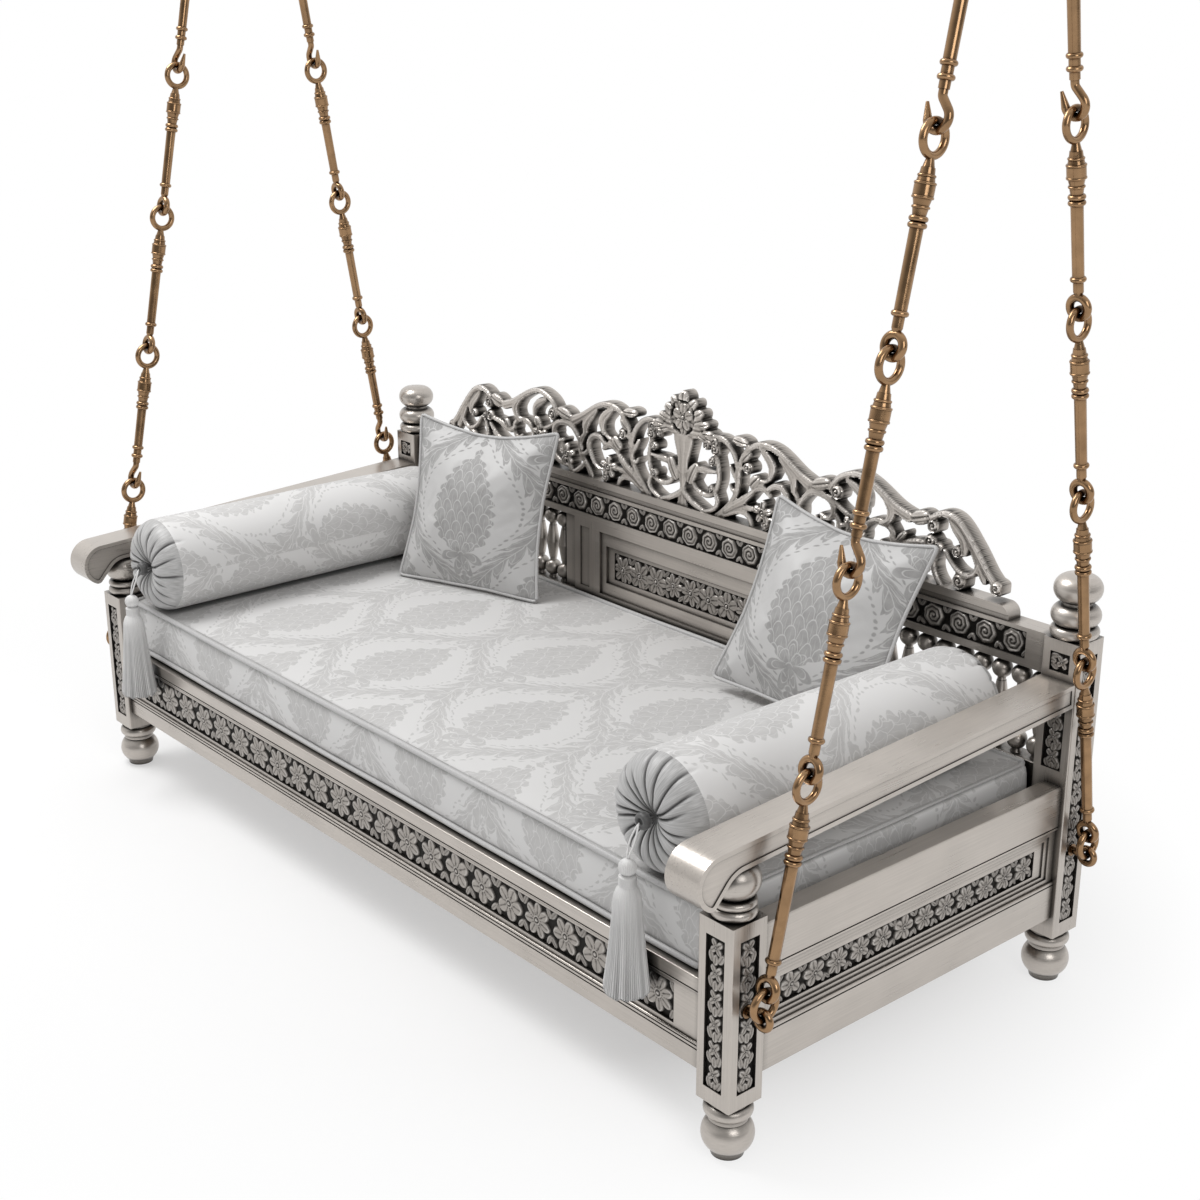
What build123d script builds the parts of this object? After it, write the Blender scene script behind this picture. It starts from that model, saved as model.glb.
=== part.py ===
from build123d import *

import os
from math import atan2, cos, degrees, pi, radians, sin, sqrt, tan

# A jhoola: a carved sofa bench that hangs from the ceiling on four brass link chains.
# All sizes are millimetres. The bench is drawn with Z = 0 under its feet, X to the right
# and Y to the back, and is moved at export so that the origin is on the ceiling plane,
# midway between the two ceiling plates.

# ---------------------------------------------------------------- bench, overall
bench_length = 1830.0        # over the outer faces of the posts
bench_depth = 800.0
post_side = 66.0
foot_height = 90.0
front_post_top = 376.0
rear_post_top = 597.0
face_setback = 8.0           # rails stand this far behind the faces of the posts
edge_round = 2.5
contact_gap = 0.3            # soft pieces and pieces that move lie this far apart

half_length = bench_length / 2
half_depth = bench_depth / 2
inner_x = half_length - post_side
inner_y = half_depth - post_side
post_x = half_length - post_side / 2
post_y = half_depth - post_side / 2

# ---------------------------------------------------------------- posts and turnings
carving_depth = 5.0
post_carving_width = 36.0
post_carving_margin = 24.0
rear_window_height = 32.0
foot_pad_height = 9.0
foot_pad_radius = 26.0
foot_ball_height = 49.0
foot_ball_radius = 38.5
foot_ring_height = 21.0
foot_ring_radius = 36.0
finial_low_ring = 20.0
finial_bun = 33.0
finial_neck = 5.0
finial_cap = 42.0
finial_radius = 38.5
finial_throat = 28.0
turning_ring_radius = 33.5
turning_ball_radius = 37.0
turning_low_ring = 17.0
turning_thin_ring = 12.0

# ---------------------------------------------------------------- rails and panels
rail_thickness = 34.0
low_rail_bottom = 124.0
side_low_rail_height = 68.0
side_top_rail_bottom = 283.0
side_top_rail_top = 358.0
side_frieze_bottom = 212.0
side_frieze_height = 45.0
side_frieze_margin = 46.0    # from the post to the carved band
panel_thickness = 20.0
panel_setback = 4.0
panel_step = 2.5
front_low_rail_top = 165.0
front_top_rail_bottom = 243.0
seat_top = 268.0
front_frieze_bottom = 172.0
front_frieze_height = 64.0
front_frieze_margin = 59.0
groove_width = 2.4
groove_depth = 1.6
groove_inset = 9.0

# ---------------------------------------------------------------- seat
plank_count = 5
plank_thickness = 16.0
plank_gap = 4.0
bearer_width = 32.0
bearer_height = 48.0
bearer_spacing = 400.0
ledger_width = 24.0
ledger_height = 28.0
fit_gap = 1.0

# ---------------------------------------------------------------- back
back_face_setback = 17.0     # behind the front faces of the rear posts
back_board_thickness = 36.0
back_low_rail_top = 192.0
back_board_top = 372.0
frieze_rail_bottom = 528.0
frieze_rail_top = 593.0
back_frieze_bottom = 541.0
back_frieze_height = 45.0
back_frieze_margin = 44.0
centre_panel_half = 244.0
pilaster_width = 66.0
stile_width = 33.0
stile_step = 6.0
spindle_count = 13
spindle_ball_radius = 17.0
spindle_neck_radius = 7.0

# ---------------------------------------------------------------- crest
crest_base_half = 766.0
crest_base_height = 24.0
crest_base_thickness = 34.0
crest_thickness = 30.0
crest_reach = 748.0          # from the centre to the end of the scrollwork
crest_rise = 221.0           # from the base moulding to the tip of the flower

# ---------------------------------------------------------------- armrests
arm_width = 64.0
arm_thickness = 38.0
arm_top_at_back = 533.0
arm_top_at_front = 495.0
arm_overhang = 68.0          # past the front faces of the front posts
arm_nose_radius = 40.0
arm_tip_radius = 11.0
arm_throat_radius = 40.0
arm_face_border = 7.0
arm_face_depth = 1.6

# ---------------------------------------------------------------- cushions
mattress_thickness = 108.0
mattress_side_gap = 4.0
mattress_front_setback = 22.0
mattress_back_gap = 7.0
mattress_round = 16.0
bolster_radius = 92.0
bolster_length = 700.0
bolster_front_setback = 3.0
bolster_side_gap = 24.0      # from the armrest's inner face
bolster_round = 28.0
button_radius = 13.0
button_height = 8.0
pillow_size = 345.0
pillow_thickness = 120.0
pillow_edge_thickness = 16.0
left_pillow_place = (-446.0, 208.0)
left_pillow_turn = 18.5
left_pillow_lean = 16.0
left_pillow_roll = 0.0
right_pillow_place = (462.0, 250.0)
right_pillow_turn = 6.0
right_pillow_lean = 25.0
right_pillow_roll = -4.0
tassel_cord_radius = 2.2
tassel_drop = 48.0
tassel_ball_radius = 13.0
tassel_band_radius = 13.5
tassel_band_height = 16.0
tassel_skirt_height = 168.0
tassel_skirt_radius = 34.0

# ---------------------------------------------------------------- chains
link_count = 7
eye_height = 253.0           # top of the wire of the eye bolts, above the feet's underside
eye_stand_off = 28.0
eye_radius = 12.5
eye_wire = 5.5
shank_radius = 6.0
shank_depth = 48.0
collar_radius = 10.0
collar_height = 5.0
ring_radius = 21.0
ring_wire = 5.5
loop_radius = 14.5
loop_wire = 6.0
lowest_link_extra = 32.0
link_rod_radius = 8.9
link_stem_radius = 7.4
link_bead_radius = 12.5
link_drum_radius = 14.3
hook_links = {"front_left": (1, 4), "back_left": (1, 4), "front_right": (2, 4), "back_right": (4,)}

# ---------------------------------------------------------------- ceiling fittings
ceiling_height = 2340.0      # above the underside of the feet
hang_x = 945.0               # from the centre to each hanging point
hang_y = 45.0                # over the swing's centre of mass
axle_drop = 42.0
hanger_length = 95.0
hanger_wire = 6.0
hanger_half_width = 40.0
hanger_corner = 9.0
top_ring_spread = 13.5       # each top ring stands this far from the hanger's centre
top_ring_play = 0.9
axle_radius = 6.0
running_clearance = 0.08
bush_wall = 3.0
hanger_eye_radius = 17.0
hanger_eye_width = 24.0
cheek_thickness = 6.0
cheek_gap = 1.0
cheek_radius = 20.0
plate_length = 140.0
plate_width = 62.0
plate_thickness = 8.0
plate_round = 8.0
plate_bolt_spacing = 100.0
plate_bolt_radius = 5.5
nut_radius = 10.5
nut_height = 9.0

axle_z = ceiling_height - axle_drop
hang_z = axle_z - hanger_length

parts = {}


def block(x0, x1, y0, y1, z0, z1):
    """Rectangular block between two corners."""
    centre = Pos((x0 + x1) / 2, (y0 + y1) / 2, (z0 + z1) / 2)
    return centre * Box(x1 - x0, y1 - y0, z1 - z0)


def rounded(x0, x1, y0, y1, z0, z1, axis, radius=edge_round):
    """Block whose edges along one axis are rounded."""
    solid = block(x0, x1, y0, y1, z0, z1)
    return fillet(solid.edges().filter_by(axis), radius)


def turned(x, y, bottom, steps):
    """Turning on a vertical axis: each step is (kind, start radius, end or belly radius, height)."""
    z = bottom
    edges = [Line((0, z), (steps[0][1], z))]
    radius = steps[0][1]
    for kind, start, end, height in steps:
        if abs(start - radius) > 1e-6:
            edges.append(Line((radius, z), (start, z)))
        if kind == "bead":
            edges.append(ThreePointArc((start, z), (end, z + height / 2), (start, z + height)))
            radius = start
        else:
            edges.append(Line((start, z), (end, z + height)))
            radius = end
        z += height
    edges.append(Line((radius, z), (0, z)))
    edges.append(Line((0, z), (0, bottom)))
    return Pos(x, y, 0) * revolve(Plane.XZ * make_face(edges), Axis.Z)


def mirrored(shape):
    """The same piece on the other side of the middle."""
    return mirror(shape, about=Plane.YZ)


def both_sides(name, shape):
    """Store a right-hand piece and its mirror image."""
    parts[name + "_right"] = shape
    parts[name + "_left"] = mirrored(shape)


# ---------------------------------------------------------------- posts, feet, finials
def post(y_sign, top):
    """Square post on the right side with carved fields sunk into its outer faces."""
    y0, y1 = sorted((y_sign * inner_y, y_sign * half_depth))
    solid = rounded(inner_x, half_length, y0, y1, foot_height, top, Axis.Z)
    field = post_carving_width / 2
    low, high = foot_height + post_carving_margin, top - post_carving_margin
    y_mid = y_sign * post_y
    solid -= block(half_length - carving_depth, half_length, y_mid - field, y_mid + field, low, high)
    end = y_sign * half_depth
    d0, d1 = sorted((end, end - y_sign * carving_depth))
    solid -= block(post_x - field, post_x + field, d0, d1, low, high)
    return solid


def rear_post():
    """Rear post: a third carved field faces the sitter, above and below the armrest."""
    solid = post(1, rear_post_top)
    field = post_carving_width / 2
    face = inner_y
    window_top = rear_post_top - post_carving_margin + 4
    windows = [(window_top - rear_window_height, window_top),
               (side_top_rail_top + post_carving_margin, arm_top_at_back - arm_thickness - post_carving_margin / 2)]
    for low, high in windows:
        solid -= block(post_x - field, post_x + field, face, face + carving_depth, low, high)
    return solid


def foot(y):
    """Turned bun foot: pad, ball and ring."""
    neck = foot_height - foot_pad_height - foot_ball_height - foot_ring_height
    steps = [("taper", foot_pad_radius - 2, foot_pad_radius, foot_pad_height),
             ("bead", foot_pad_radius, foot_ball_radius, foot_ball_height),
             ("taper", foot_pad_radius + 3, foot_pad_radius + 3, neck / 2),
             ("bead", foot_pad_radius + 2, foot_ring_radius, foot_ring_height),
             ("taper", foot_pad_radius + 3, foot_pad_radius + 3, neck / 2)]
    return turned(post_x, y, 0, steps)


def finial():
    """Rear post finial: low ring, bun and flattened cap."""
    low = finial_low_ring
    steps = [("bead", finial_throat + 1, finial_radius, low),
             ("bead", finial_throat, finial_radius + 0.5, finial_bun),
             ("taper", finial_throat - 4, finial_throat - 4, finial_neck),
             ("bead", finial_throat - 5, finial_radius - 0.5, finial_cap),
             ("taper", finial_throat - 6, 10, 2)]
    return turned(post_x, post_y, rear_post_top, steps)


def arm_line(y):
    """Height of the armrest's top above a place along the bench."""
    slope = (arm_top_at_back - arm_top_at_front) / (inner_y + half_depth)
    return arm_top_at_back - slope * (inner_y - y)


def arm_profile():
    """Side outline of the armrest: a level slab that rolls down into a scrolled nose."""
    reach = inner_y + half_depth + arm_overhang
    nose, tip = arm_nose_radius, arm_tip_radius
    cx, cz = reach - nose, -nose
    turn = radians(-60)
    end = radians(-135)
    tx, tz = cx + (nose - tip) * cos(turn), cz + (nose - tip) * sin(turn)
    roll_end = (cx + nose * cos(turn), cz + nose * sin(turn))
    tip_mid = (tx + tip * cos((turn + end) / 2), tz + tip * sin((turn + end) / 2))
    tip_end = (tx + tip * cos(end), tz + tip * sin(end))
    throat = (tip_end[0] - (-arm_thickness - tip_end[1]), -arm_thickness)
    edges = [Line((0, -arm_thickness), (0, 0)), Line((0, 0), (cx, 0)),
             ThreePointArc((cx, 0), (cx + nose * cos(turn / 4), cz + nose * sin(turn / 4)), roll_end),
             ThreePointArc(roll_end, tip_mid, tip_end),
             Line(tip_end, throat), Line(throat, (0, -arm_thickness))]
    face = make_face(edges)
    corner = face.vertices().sort_by_distance((throat[0], throat[1], 0))[0]
    return fillet(corner, arm_throat_radius)


def armrest():
    """Armrest on the right side, with a sunk field on each flank."""
    slope = degrees(atan2(arm_top_at_back - arm_top_at_front, inner_y + half_depth))
    outline = arm_profile()
    field = offset(outline, -arm_face_border, kind=Kind.ARC)
    x0, x1 = post_x - arm_width / 2, post_x + arm_width / 2
    tilt = Rot(slope, 0, 0)
    solid = extrude(outline, arm_width)
    solid -= extrude(field, arm_face_depth)
    solid -= Pos(0, 0, arm_width - arm_face_depth) * extrude(field, arm_face_depth)
    upright = Plane(origin=(x1, inner_y, arm_top_at_back), x_dir=(0, -1, 0), z_dir=(-1, 0, 0))
    solid = upright.location * solid
    pivot = Pos(0, inner_y, arm_top_at_back)
    solid = pivot * tilt * pivot.inverse() * solid
    return solid - block(x0 - 1, x1 + 1, inner_y, inner_y + arm_thickness, 0, arm_top_at_back + 50)


def arm_turning(arm):
    """Turned baluster between a front post and the armrest above it."""
    under = arm_line(-post_y) - arm_thickness
    ball = under - front_post_top - turning_low_ring - turning_thin_ring
    steps = [("bead", finial_throat - 1, turning_ring_radius, turning_low_ring),
             ("bead", finial_throat, turning_ring_radius - 1, turning_thin_ring),
             ("bead", finial_throat - 7, turning_ball_radius, ball - 2),
             ("taper", finial_throat - 10, finial_throat - 10, 8)]
    return turned(post_x, -post_y, front_post_top, steps) - arm


both_sides("front_post", post(-1, front_post_top))
both_sides("rear_post", rear_post())
both_sides("front_foot", foot(-post_y))
both_sides("rear_foot", foot(post_y))
both_sides("finial", finial())
right_arm = armrest()
both_sides("armrest", right_arm)
both_sides("arm_turning", arm_turning(right_arm))


# ---------------------------------------------------------------- rails and panels
def grooved_rail(length, thickness, height, grooves):
    """Rail along X with its outer face on -Y; grooves are heights above its underside."""
    solid = Pos(0, thickness / 2, height / 2) * Box(length, thickness, height)
    outer = solid.edges().filter_by(Axis.X).group_by(Axis.Y)[0]
    solid = fillet(outer, edge_round)
    for z in grooves:
        solid -= Pos(0, groove_depth / 2, z) * Box(length, groove_depth, groove_width)
    return solid


def stepped_panel(length, thickness, height, steps):
    """Panel along X, outer face on -Y, with nested sunk fields (half length, low, high, depth)."""
    solid = Pos(0, thickness / 2, height / 2) * Box(length, thickness, height)
    for half, low, high, depth in steps:
        solid -= Pos(0, depth / 2, (low + high) / 2) * Box(2 * half, depth, high - low)
    return solid


def front_place(z):
    """Place on the front of the bench for a rail drawn at the origin."""
    return Pos(0, -half_depth + face_setback, z)


def side_place(z):
    """Place on the right side of the bench for a rail drawn at the origin."""
    return Pos(half_length - face_setback, 0, z) * Rot(0, 0, 90)


def back_place(z):
    """Place of a rail in the plane of the back, drawn at the origin."""
    return Pos(0, inner_y + back_face_setback, z)


front_length = 2 * inner_x
side_length = 2 * inner_y
top_nosing = seat_top - front_top_rail_bottom
parts["front_top_rail"] = front_place(front_top_rail_bottom) * grooved_rail(
    front_length, rail_thickness, top_nosing, [4.0])
low_height = front_low_rail_top - low_rail_bottom
parts["front_low_rail"] = front_place(low_rail_bottom) * grooved_rail(
    front_length, rail_thickness, low_height, [low_height - 4, low_height - 10])
front_field = inner_x - front_frieze_margin
field_low = front_frieze_bottom - front_low_rail_top
parts["front_panel"] = front_place(front_low_rail_top) * Pos(0, panel_setback, 0) * stepped_panel(
    front_length, panel_thickness, front_top_rail_bottom - front_low_rail_top,
    [(front_field, field_low, field_low + front_frieze_height, carving_depth)])

side_low_top = low_rail_bottom + side_low_rail_height
both_sides("side_low_rail", side_place(low_rail_bottom) * grooved_rail(
    side_length, rail_thickness, side_low_rail_height, [side_low_rail_height - 6]))
both_sides("side_top_rail", side_place(side_top_rail_bottom) * grooved_rail(
    side_length, rail_thickness, side_top_rail_top - side_top_rail_bottom, [6.0]))
carved_half = inner_y - side_frieze_margin
carved_low = side_frieze_bottom - side_low_top
carved_high = carved_low + side_frieze_height
side_panel_height = side_top_rail_bottom - side_low_top
step_in = carved_half + 30
both_sides("side_panel", side_place(side_low_top) * Pos(0, panel_setback, 0) * stepped_panel(
    side_length, panel_thickness, side_panel_height,
    [(step_in, carved_low - 13, carved_high + 18, panel_step),
     (step_in - 9, carved_low - 7, carved_high + 11, 2 * panel_step),
     (carved_half, carved_low, carved_high, 2 * panel_step + carving_depth)]))

# ---------------------------------------------------------------- seat deck
deck_front = -half_depth + face_setback + rail_thickness + fit_gap
deck_back = inner_y + back_face_setback - fit_gap
deck_bottom = seat_top - plank_thickness
pitch = (deck_back - deck_front + plank_gap) / plank_count
side_inner_x = half_length - face_setback - rail_thickness
planks = []
for i in range(plank_count):
    y0 = deck_front + i * pitch
    y1 = y0 + pitch - plank_gap
    beside_post = y0 < -inner_y or y1 > inner_y
    reach = (inner_x if beside_post else side_inner_x) - fit_gap
    planks.append(block(-reach, reach, y0, y1, deck_bottom, seat_top))
parts["seat_planks"] = planks

ledger_top = deck_bottom - bearer_height
bearers = []
for i in range(-2, 3):
    x = i * bearer_spacing
    bearers.append(block(x - bearer_width / 2, x + bearer_width / 2, deck_front, deck_back, ledger_top, deck_bottom))
parts["seat_bearers"] = bearers
ledger_low = ledger_top - ledger_height
front_face_inside = -half_depth + face_setback + panel_setback + panel_thickness
ledger_front = deck_front - fit_gap
parts["seat_ledgers"] = [
    block(-inner_x, inner_x, front_face_inside, ledger_front + ledger_width, ledger_low, ledger_top),
    block(-inner_x, inner_x, deck_back + fit_gap - ledger_width, deck_back + fit_gap, ledger_low, ledger_top)]

# ---------------------------------------------------------------- back
parts["back_low_rail"] = back_place(low_rail_bottom) * grooved_rail(
    front_length, back_board_thickness, back_low_rail_top - low_rail_bottom, [])
parts["back_board"] = back_place(back_low_rail_top) * grooved_rail(
    front_length, back_board_thickness, back_board_top - back_low_rail_top, [])
frieze_low = back_frieze_bottom - frieze_rail_bottom
parts["back_frieze_rail"] = back_place(frieze_rail_bottom) * stepped_panel(
    front_length, back_board_thickness + 4, frieze_rail_top - frieze_rail_bottom,
    [(inner_x - back_frieze_margin, frieze_low, frieze_low + back_frieze_height, carving_depth)])

gallery_height = frieze_rail_bottom - back_board_top
panel_recess = panel_step * 2
parts["back_panel"] = back_place(back_board_top) * stepped_panel(
    2 * centre_panel_half, back_board_thickness, gallery_height,
    [(centre_panel_half - 12, 10, gallery_height - 16, panel_recess),
     (centre_panel_half - 27, 34, gallery_height - 44, 2 * panel_recess),
     (centre_panel_half - 47, 45, gallery_height - 62 + 8, 2 * panel_recess + carving_depth)])


def pilaster():
    """Pilaster beside the centre panel, with a narrow sunk field and a set-back stile."""
    x0 = centre_panel_half
    x1 = x0 + pilaster_width
    y0 = inner_y + back_face_setback
    y1 = y0 + back_board_thickness
    solid = block(x0, x1, y0, y1, back_board_top, frieze_rail_bottom)
    solid -= block(x0 + 20, x1 - 18, y0, y0 + panel_step, back_board_top + 14, frieze_rail_bottom - 16)
    solid += block(x1, x1 + stile_width, y0 + stile_step, y1, back_board_top, frieze_rail_bottom)
    return solid


both_sides("pilaster", pilaster())

gallery_start = centre_panel_half + pilaster_width + stile_width
spindle_pitch = (inner_x - gallery_start) / spindle_count
spindle_y = inner_y + back_face_setback + back_board_thickness / 2


def spindle(x):
    """Small turned spindle between the back board and the frieze rail."""
    ball = 2 * spindle_ball_radius - 3
    vase = (gallery_height - 2 * ball - 4 * 6) / 2
    neck = spindle_neck_radius
    steps = [("taper", neck + 3, neck, 6), ("bead", neck, spindle_ball_radius, ball),
             ("taper", neck, neck, 6), ("taper", neck + 1, neck + 7, vase),
             ("taper", neck + 7, neck + 1, vase), ("taper", neck, neck, 6),
             ("bead", neck, spindle_ball_radius, ball), ("taper", neck, neck + 3, 6)]
    return turned(x, spindle_y, back_board_top, steps)


spindles = [spindle(gallery_start + (i + 0.5) * spindle_pitch) for i in range(spindle_count)]
parts["back_spindles_right"] = spindles
parts["back_spindles_left"] = [mirrored(s) for s in spindles]


# ---------------------------------------------------------------- crest
def crest_base():
    """Moulding that the scrollwork stands on, rounded off at both ends."""
    y0 = spindle_y - crest_base_thickness / 2
    z0, z1 = frieze_rail_top, frieze_rail_top + crest_base_height
    solid = block(-crest_base_half, crest_base_half, y0, y0 + crest_base_thickness, z0, z1)
    ends = solid.edges().filter_by(Axis.Y).group_by(Axis.Z)[-1]
    solid = fillet(ends, crest_base_height * 0.8)
    step = block(-crest_base_half, crest_base_half, y0, y0 + panel_step, z0, z0 + crest_base_height * 0.42)
    return solid - step


def stroke(points, widths):
    """Tapering band: a spline through the points, with a width at each of them."""
    spine = Spline(*points)
    count = 3 * (len(points) - 1) + 1
    left, right = [], []
    for i in range(count):
        t = i / (count - 1)
        place, along = spine @ t, spine % t
        k = t * (len(widths) - 1)
        j = min(int(k), len(widths) - 2)
        half = (widths[j] + (k - j) * (widths[j + 1] - widths[j])) / 2
        left.append((place.X - along.Y * half, place.Y + along.X * half))
        right.append((place.X + along.Y * half, place.Y - along.X * half))
    tips = []
    for t, sign, width in ((1, 1, widths[-1]), (0, -1, widths[0])):
        place, along = spine @ t, spine % t
        tips.append((place.X + sign * along.X * width / 2, place.Y + sign * along.Y * width / 2))
    edges = [Spline(*left), ThreePointArc(left[-1], tips[0], right[-1]),
             Spline(*right[::-1]), ThreePointArc(right[0], tips[1], left[0])]
    return make_face(edges)


def petal(x, z, length, width, turn):
    """Oval leaf or petal centred on a place and turned by an angle."""
    return Pos(x, z) * Rot(0, 0, turn) * Ellipse(length / 2, width / 2)


def disc(x, z, radius):
    """Round boss."""
    return Pos(x, z) * Circle(radius)


def floret(x, z, radius, petals):
    """Open flower: petals round a boss."""
    shapes = [disc(x, z, radius * 0.5)]
    for i in range(petals):
        turn = 90 + 360 * i / petals
        cx = x + radius * 0.62 * cos(radians(turn))
        cz = z + radius * 0.62 * sin(radians(turn))
        shapes.append(petal(cx, cz, radius * 0.85, radius * 0.62, turn))
    return shapes


def crest_half():
    """Shapes of the right half of the scrollwork; heights are above the base moulding."""
    shapes = []
    # outer bands, from the end volute to the centre
    shapes += [disc(735, 16, 17), stroke([(738, 22), (712, 52), (676, 94), (633, 114), (597, 106), (576, 92)],
                                         [14, 18, 18, 17, 15, 12])]
    shapes += [petal(566, 93, 32, 23, -25)]
    shapes += [stroke([(556, 84), (528, 92), (486, 118), (438, 138), (394, 134), (368, 118)],
                      [13, 17, 18, 18, 16, 12]), petal(358, 114, 32, 23, -25)]
    shapes += [stroke([(348, 104), (314, 112), (268, 134), (214, 152), (170, 138), (148, 100), (141, 66)],
                      [13, 17, 18, 19, 17, 14, 15])]
    shapes += [petal(152, 151, 34, 20, -10)]
    shapes += [stroke([(143, 86), (136, 124), (113, 148), (86, 146), (70, 130)], [10, 13, 14, 13, 9])]
    shapes += [stroke([(96, -6), (120, 22), (138, 56), (143, 92)], [26, 20, 17, 12])]
    # the scroll beside the centre stem
    shapes += [stroke([(70, 130), (92, 100), (94, 64), (72, 36), (46, 36), (38, 56)], [10, 14, 15, 13, 10, 6])]
    shapes += [disc(43, 55, 8), disc(68, 126, 12), petal(26, 104, 44, 17, 62)]
    shapes += [stroke([(6, 74), (34, 80), (62, 82), (90, 78)], [7, 10, 11, 9])]
    shapes += [stroke([(0, 34), (26, 12), (62, 2), (98, 6)], [10, 13, 14, 16])]
    # leaves and buds under the inner arch
    shapes += [stroke([(138, 60), (160, 88), (186, 112)], [12, 16, 5]), disc(185, 98, 14), petal(214, 70, 30, 20, 40)]
    shapes += [stroke([(148, 56), (176, 74), (204, 72)], [8, 8, 8])]
    shapes += [stroke([(216, 146), (254, 124), (264, 94), (242, 74)], [6, 16, 18, 10])]
    shapes += [stroke([(282, 128), (304, 98), (302, 62), (286, 36)], [8, 16, 14, 8])]
    shapes += [stroke([(104, 4), (150, 30), (200, 46), (242, 58)], [15, 15, 13, 8])]
    shapes += [stroke([(214, 58), (252, 58), (280, 34), (288, -4)], [9, 14, 12, 12])]
    shapes += [stroke([(112, 2), (158, 12), (196, 6), (206, -6)], [10, 12, 10, 8])] + floret(240, 20, 27, 5)
    shapes += [stroke([(240, 22), (237, 40), (238, 56)], [7, 6, 7])]
    # middle bay
    shapes += [stroke([(304, 74), (330, 92), (352, 78), (358, 50), (338, 28), (318, 36)], [9, 13, 15, 14, 11, 7])]
    shapes += [disc(322, 38, 9), stroke([(288, 30), (322, 4), (368, 2), (402, 24), (420, 56)], [10, 14, 15, 14, 9])]
    shapes += [disc(386, 112, 14), stroke([(372, 60), (384, 84), (388, 112)], [8, 10, 8])]
    shapes += [stroke([(438, 132), (470, 108), (474, 78), (450, 62)], [7, 16, 17, 8])] + floret(416, 68, 25, 5)
    shapes += [stroke([(352, 52), (372, 60), (398, 62)], [8, 9, 8])]
    shapes += [stroke([(404, 24), (440, 34), (470, 20), (478, -6)], [9, 12, 11, 10])]
    shapes += [petal(452, 52, 44, 14, 60)]
    shapes += [stroke([(502, 108), (520, 80), (514, 48), (492, 24), (486, -6)], [8, 15, 15, 12, 14])]
    # end bay
    shapes += [stroke([(512, 60), (536, 66), (552, 46), (538, 22), (518, 26)], [8, 12, 14, 11, 6])]
    shapes += [disc(590, 78, 14), disc(585, 54, 15), petal(560, 66, 36, 13, 30)]
    shapes += [stroke([(538, 20), (560, 2), (596, 2), (626, 24)], [9, 12, 13, 8])] + floret(600, 22, 22, 5)
    shapes += [stroke([(640, 108), (664, 84), (664, 54), (640, 38)], [7, 16, 17, 8])]
    shapes += [stroke([(700, 62), (694, 30), (668, 12), (636, 14), (618, 30)], [8, 14, 15, 13, 8])]
    shapes += [petal(676, 0, 26, 16, 80), petal(640, 0, 22, 14, 100)]
    return shapes


def crest_centre():
    """Stem, leaves and the tall flower on the centre line."""
    shapes = [stroke([(0, 24), (0, 60), (0, 104), (0, 140)], [16, 24, 34, 26])]
    shapes += [stroke([(0, 44), (0, 20), (0, -4)], [10, 18, 40])]
    shapes += [disc(0, 166, 34), petal(0, 203, 36, 26, 90)]
    for side in (-1, 1):
        for x, z, turn in ((26, 196, 58), (44, 178, 38), (58, 158, 20), (68, 141, 4), (42, 136, -40)):
            shapes.append(petal(side * x, z, 36, 19, turn if side > 0 else 180 - turn))
        shapes.append(petal(side * 34, 160, 44, 40, 0))
    return shapes


def crest():
    """Pierced scrollwork: half of it drawn, mirrored, joined and cut off level at its foot."""
    half = crest_half()
    sketch = Sketch() + crest_centre() + half + [mirror(s, about=Plane.YZ) for s in half]
    sketch = scale(sketch, by=(crest_reach / 752, crest_rise / 221, 1))
    sketch -= Pos(0, -50) * Rectangle(3 * crest_reach, 100)
    upright = Plane(origin=(0, spindle_y - crest_thickness / 2, frieze_rail_top + crest_base_height),
                    x_dir=(1, 0, 0), z_dir=(0, -1, 0))
    return extrude(upright * sketch, -crest_thickness)


parts["crest_base"] = crest_base()
parts["crest"] = crest()


# ---------------------------------------------------------------- cushions
mattress_top = seat_top + contact_gap + mattress_thickness
mattress_half = inner_x - mattress_side_gap
mattress_front = -half_depth + mattress_front_setback
mattress_back = inner_y + back_face_setback - mattress_back_gap
pad = block(-mattress_half, mattress_half, mattress_front, mattress_back, seat_top + contact_gap, mattress_top)
parts["mattress"] = fillet(pad.edges(), mattress_round)

bolster_x = post_x - arm_width / 2 - bolster_side_gap - bolster_radius
bolster_z = mattress_top + contact_gap + bolster_radius
bolster_front = -half_depth + bolster_front_setback
roll = Cylinder(bolster_radius, bolster_length, rotation=(90, 0, 0))
roll = fillet(roll.edges().filter_by(GeomType.CIRCLE), bolster_round)
both_sides("bolster", Pos(bolster_x, bolster_front + bolster_length / 2, bolster_z) * roll)
button = Cylinder(button_radius, button_height, rotation=(90, 0, 0))
both_sides("bolster_button", Pos(bolster_x, bolster_front - button_height / 2, bolster_z) * button)


def pillow(place, turn, lean, roll_angle):
    """Square pillow: two shallow pyramids of cloth, leaning back on the mattress."""
    mid = Box(pillow_size, pillow_edge_thickness, pillow_size)
    mid = fillet(mid.edges().filter_by(Axis.Y), 20)
    core = pillow_size * 0.52
    rise = (pillow_thickness - pillow_edge_thickness) / 2
    edge = Plane.XZ.offset(pillow_edge_thickness / 2)
    top = Plane.XZ.offset(pillow_edge_thickness / 2 + rise)
    inset = pillow_size - 12
    crown = loft([edge * RectangleRounded(inset, inset, 20), top * RectangleRounded(core, core, 40)])
    solid = mid + crown + mirror(crown, about=Plane.XZ)
    solid = Rot(0, 0, turn) * Rot(-lean, 0, 0) * Rot(0, -roll_angle, 0) * solid
    drop = solid.bounding_box().min.Z
    return Pos(place[0], place[1], mattress_top + contact_gap - drop) * solid


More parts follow.
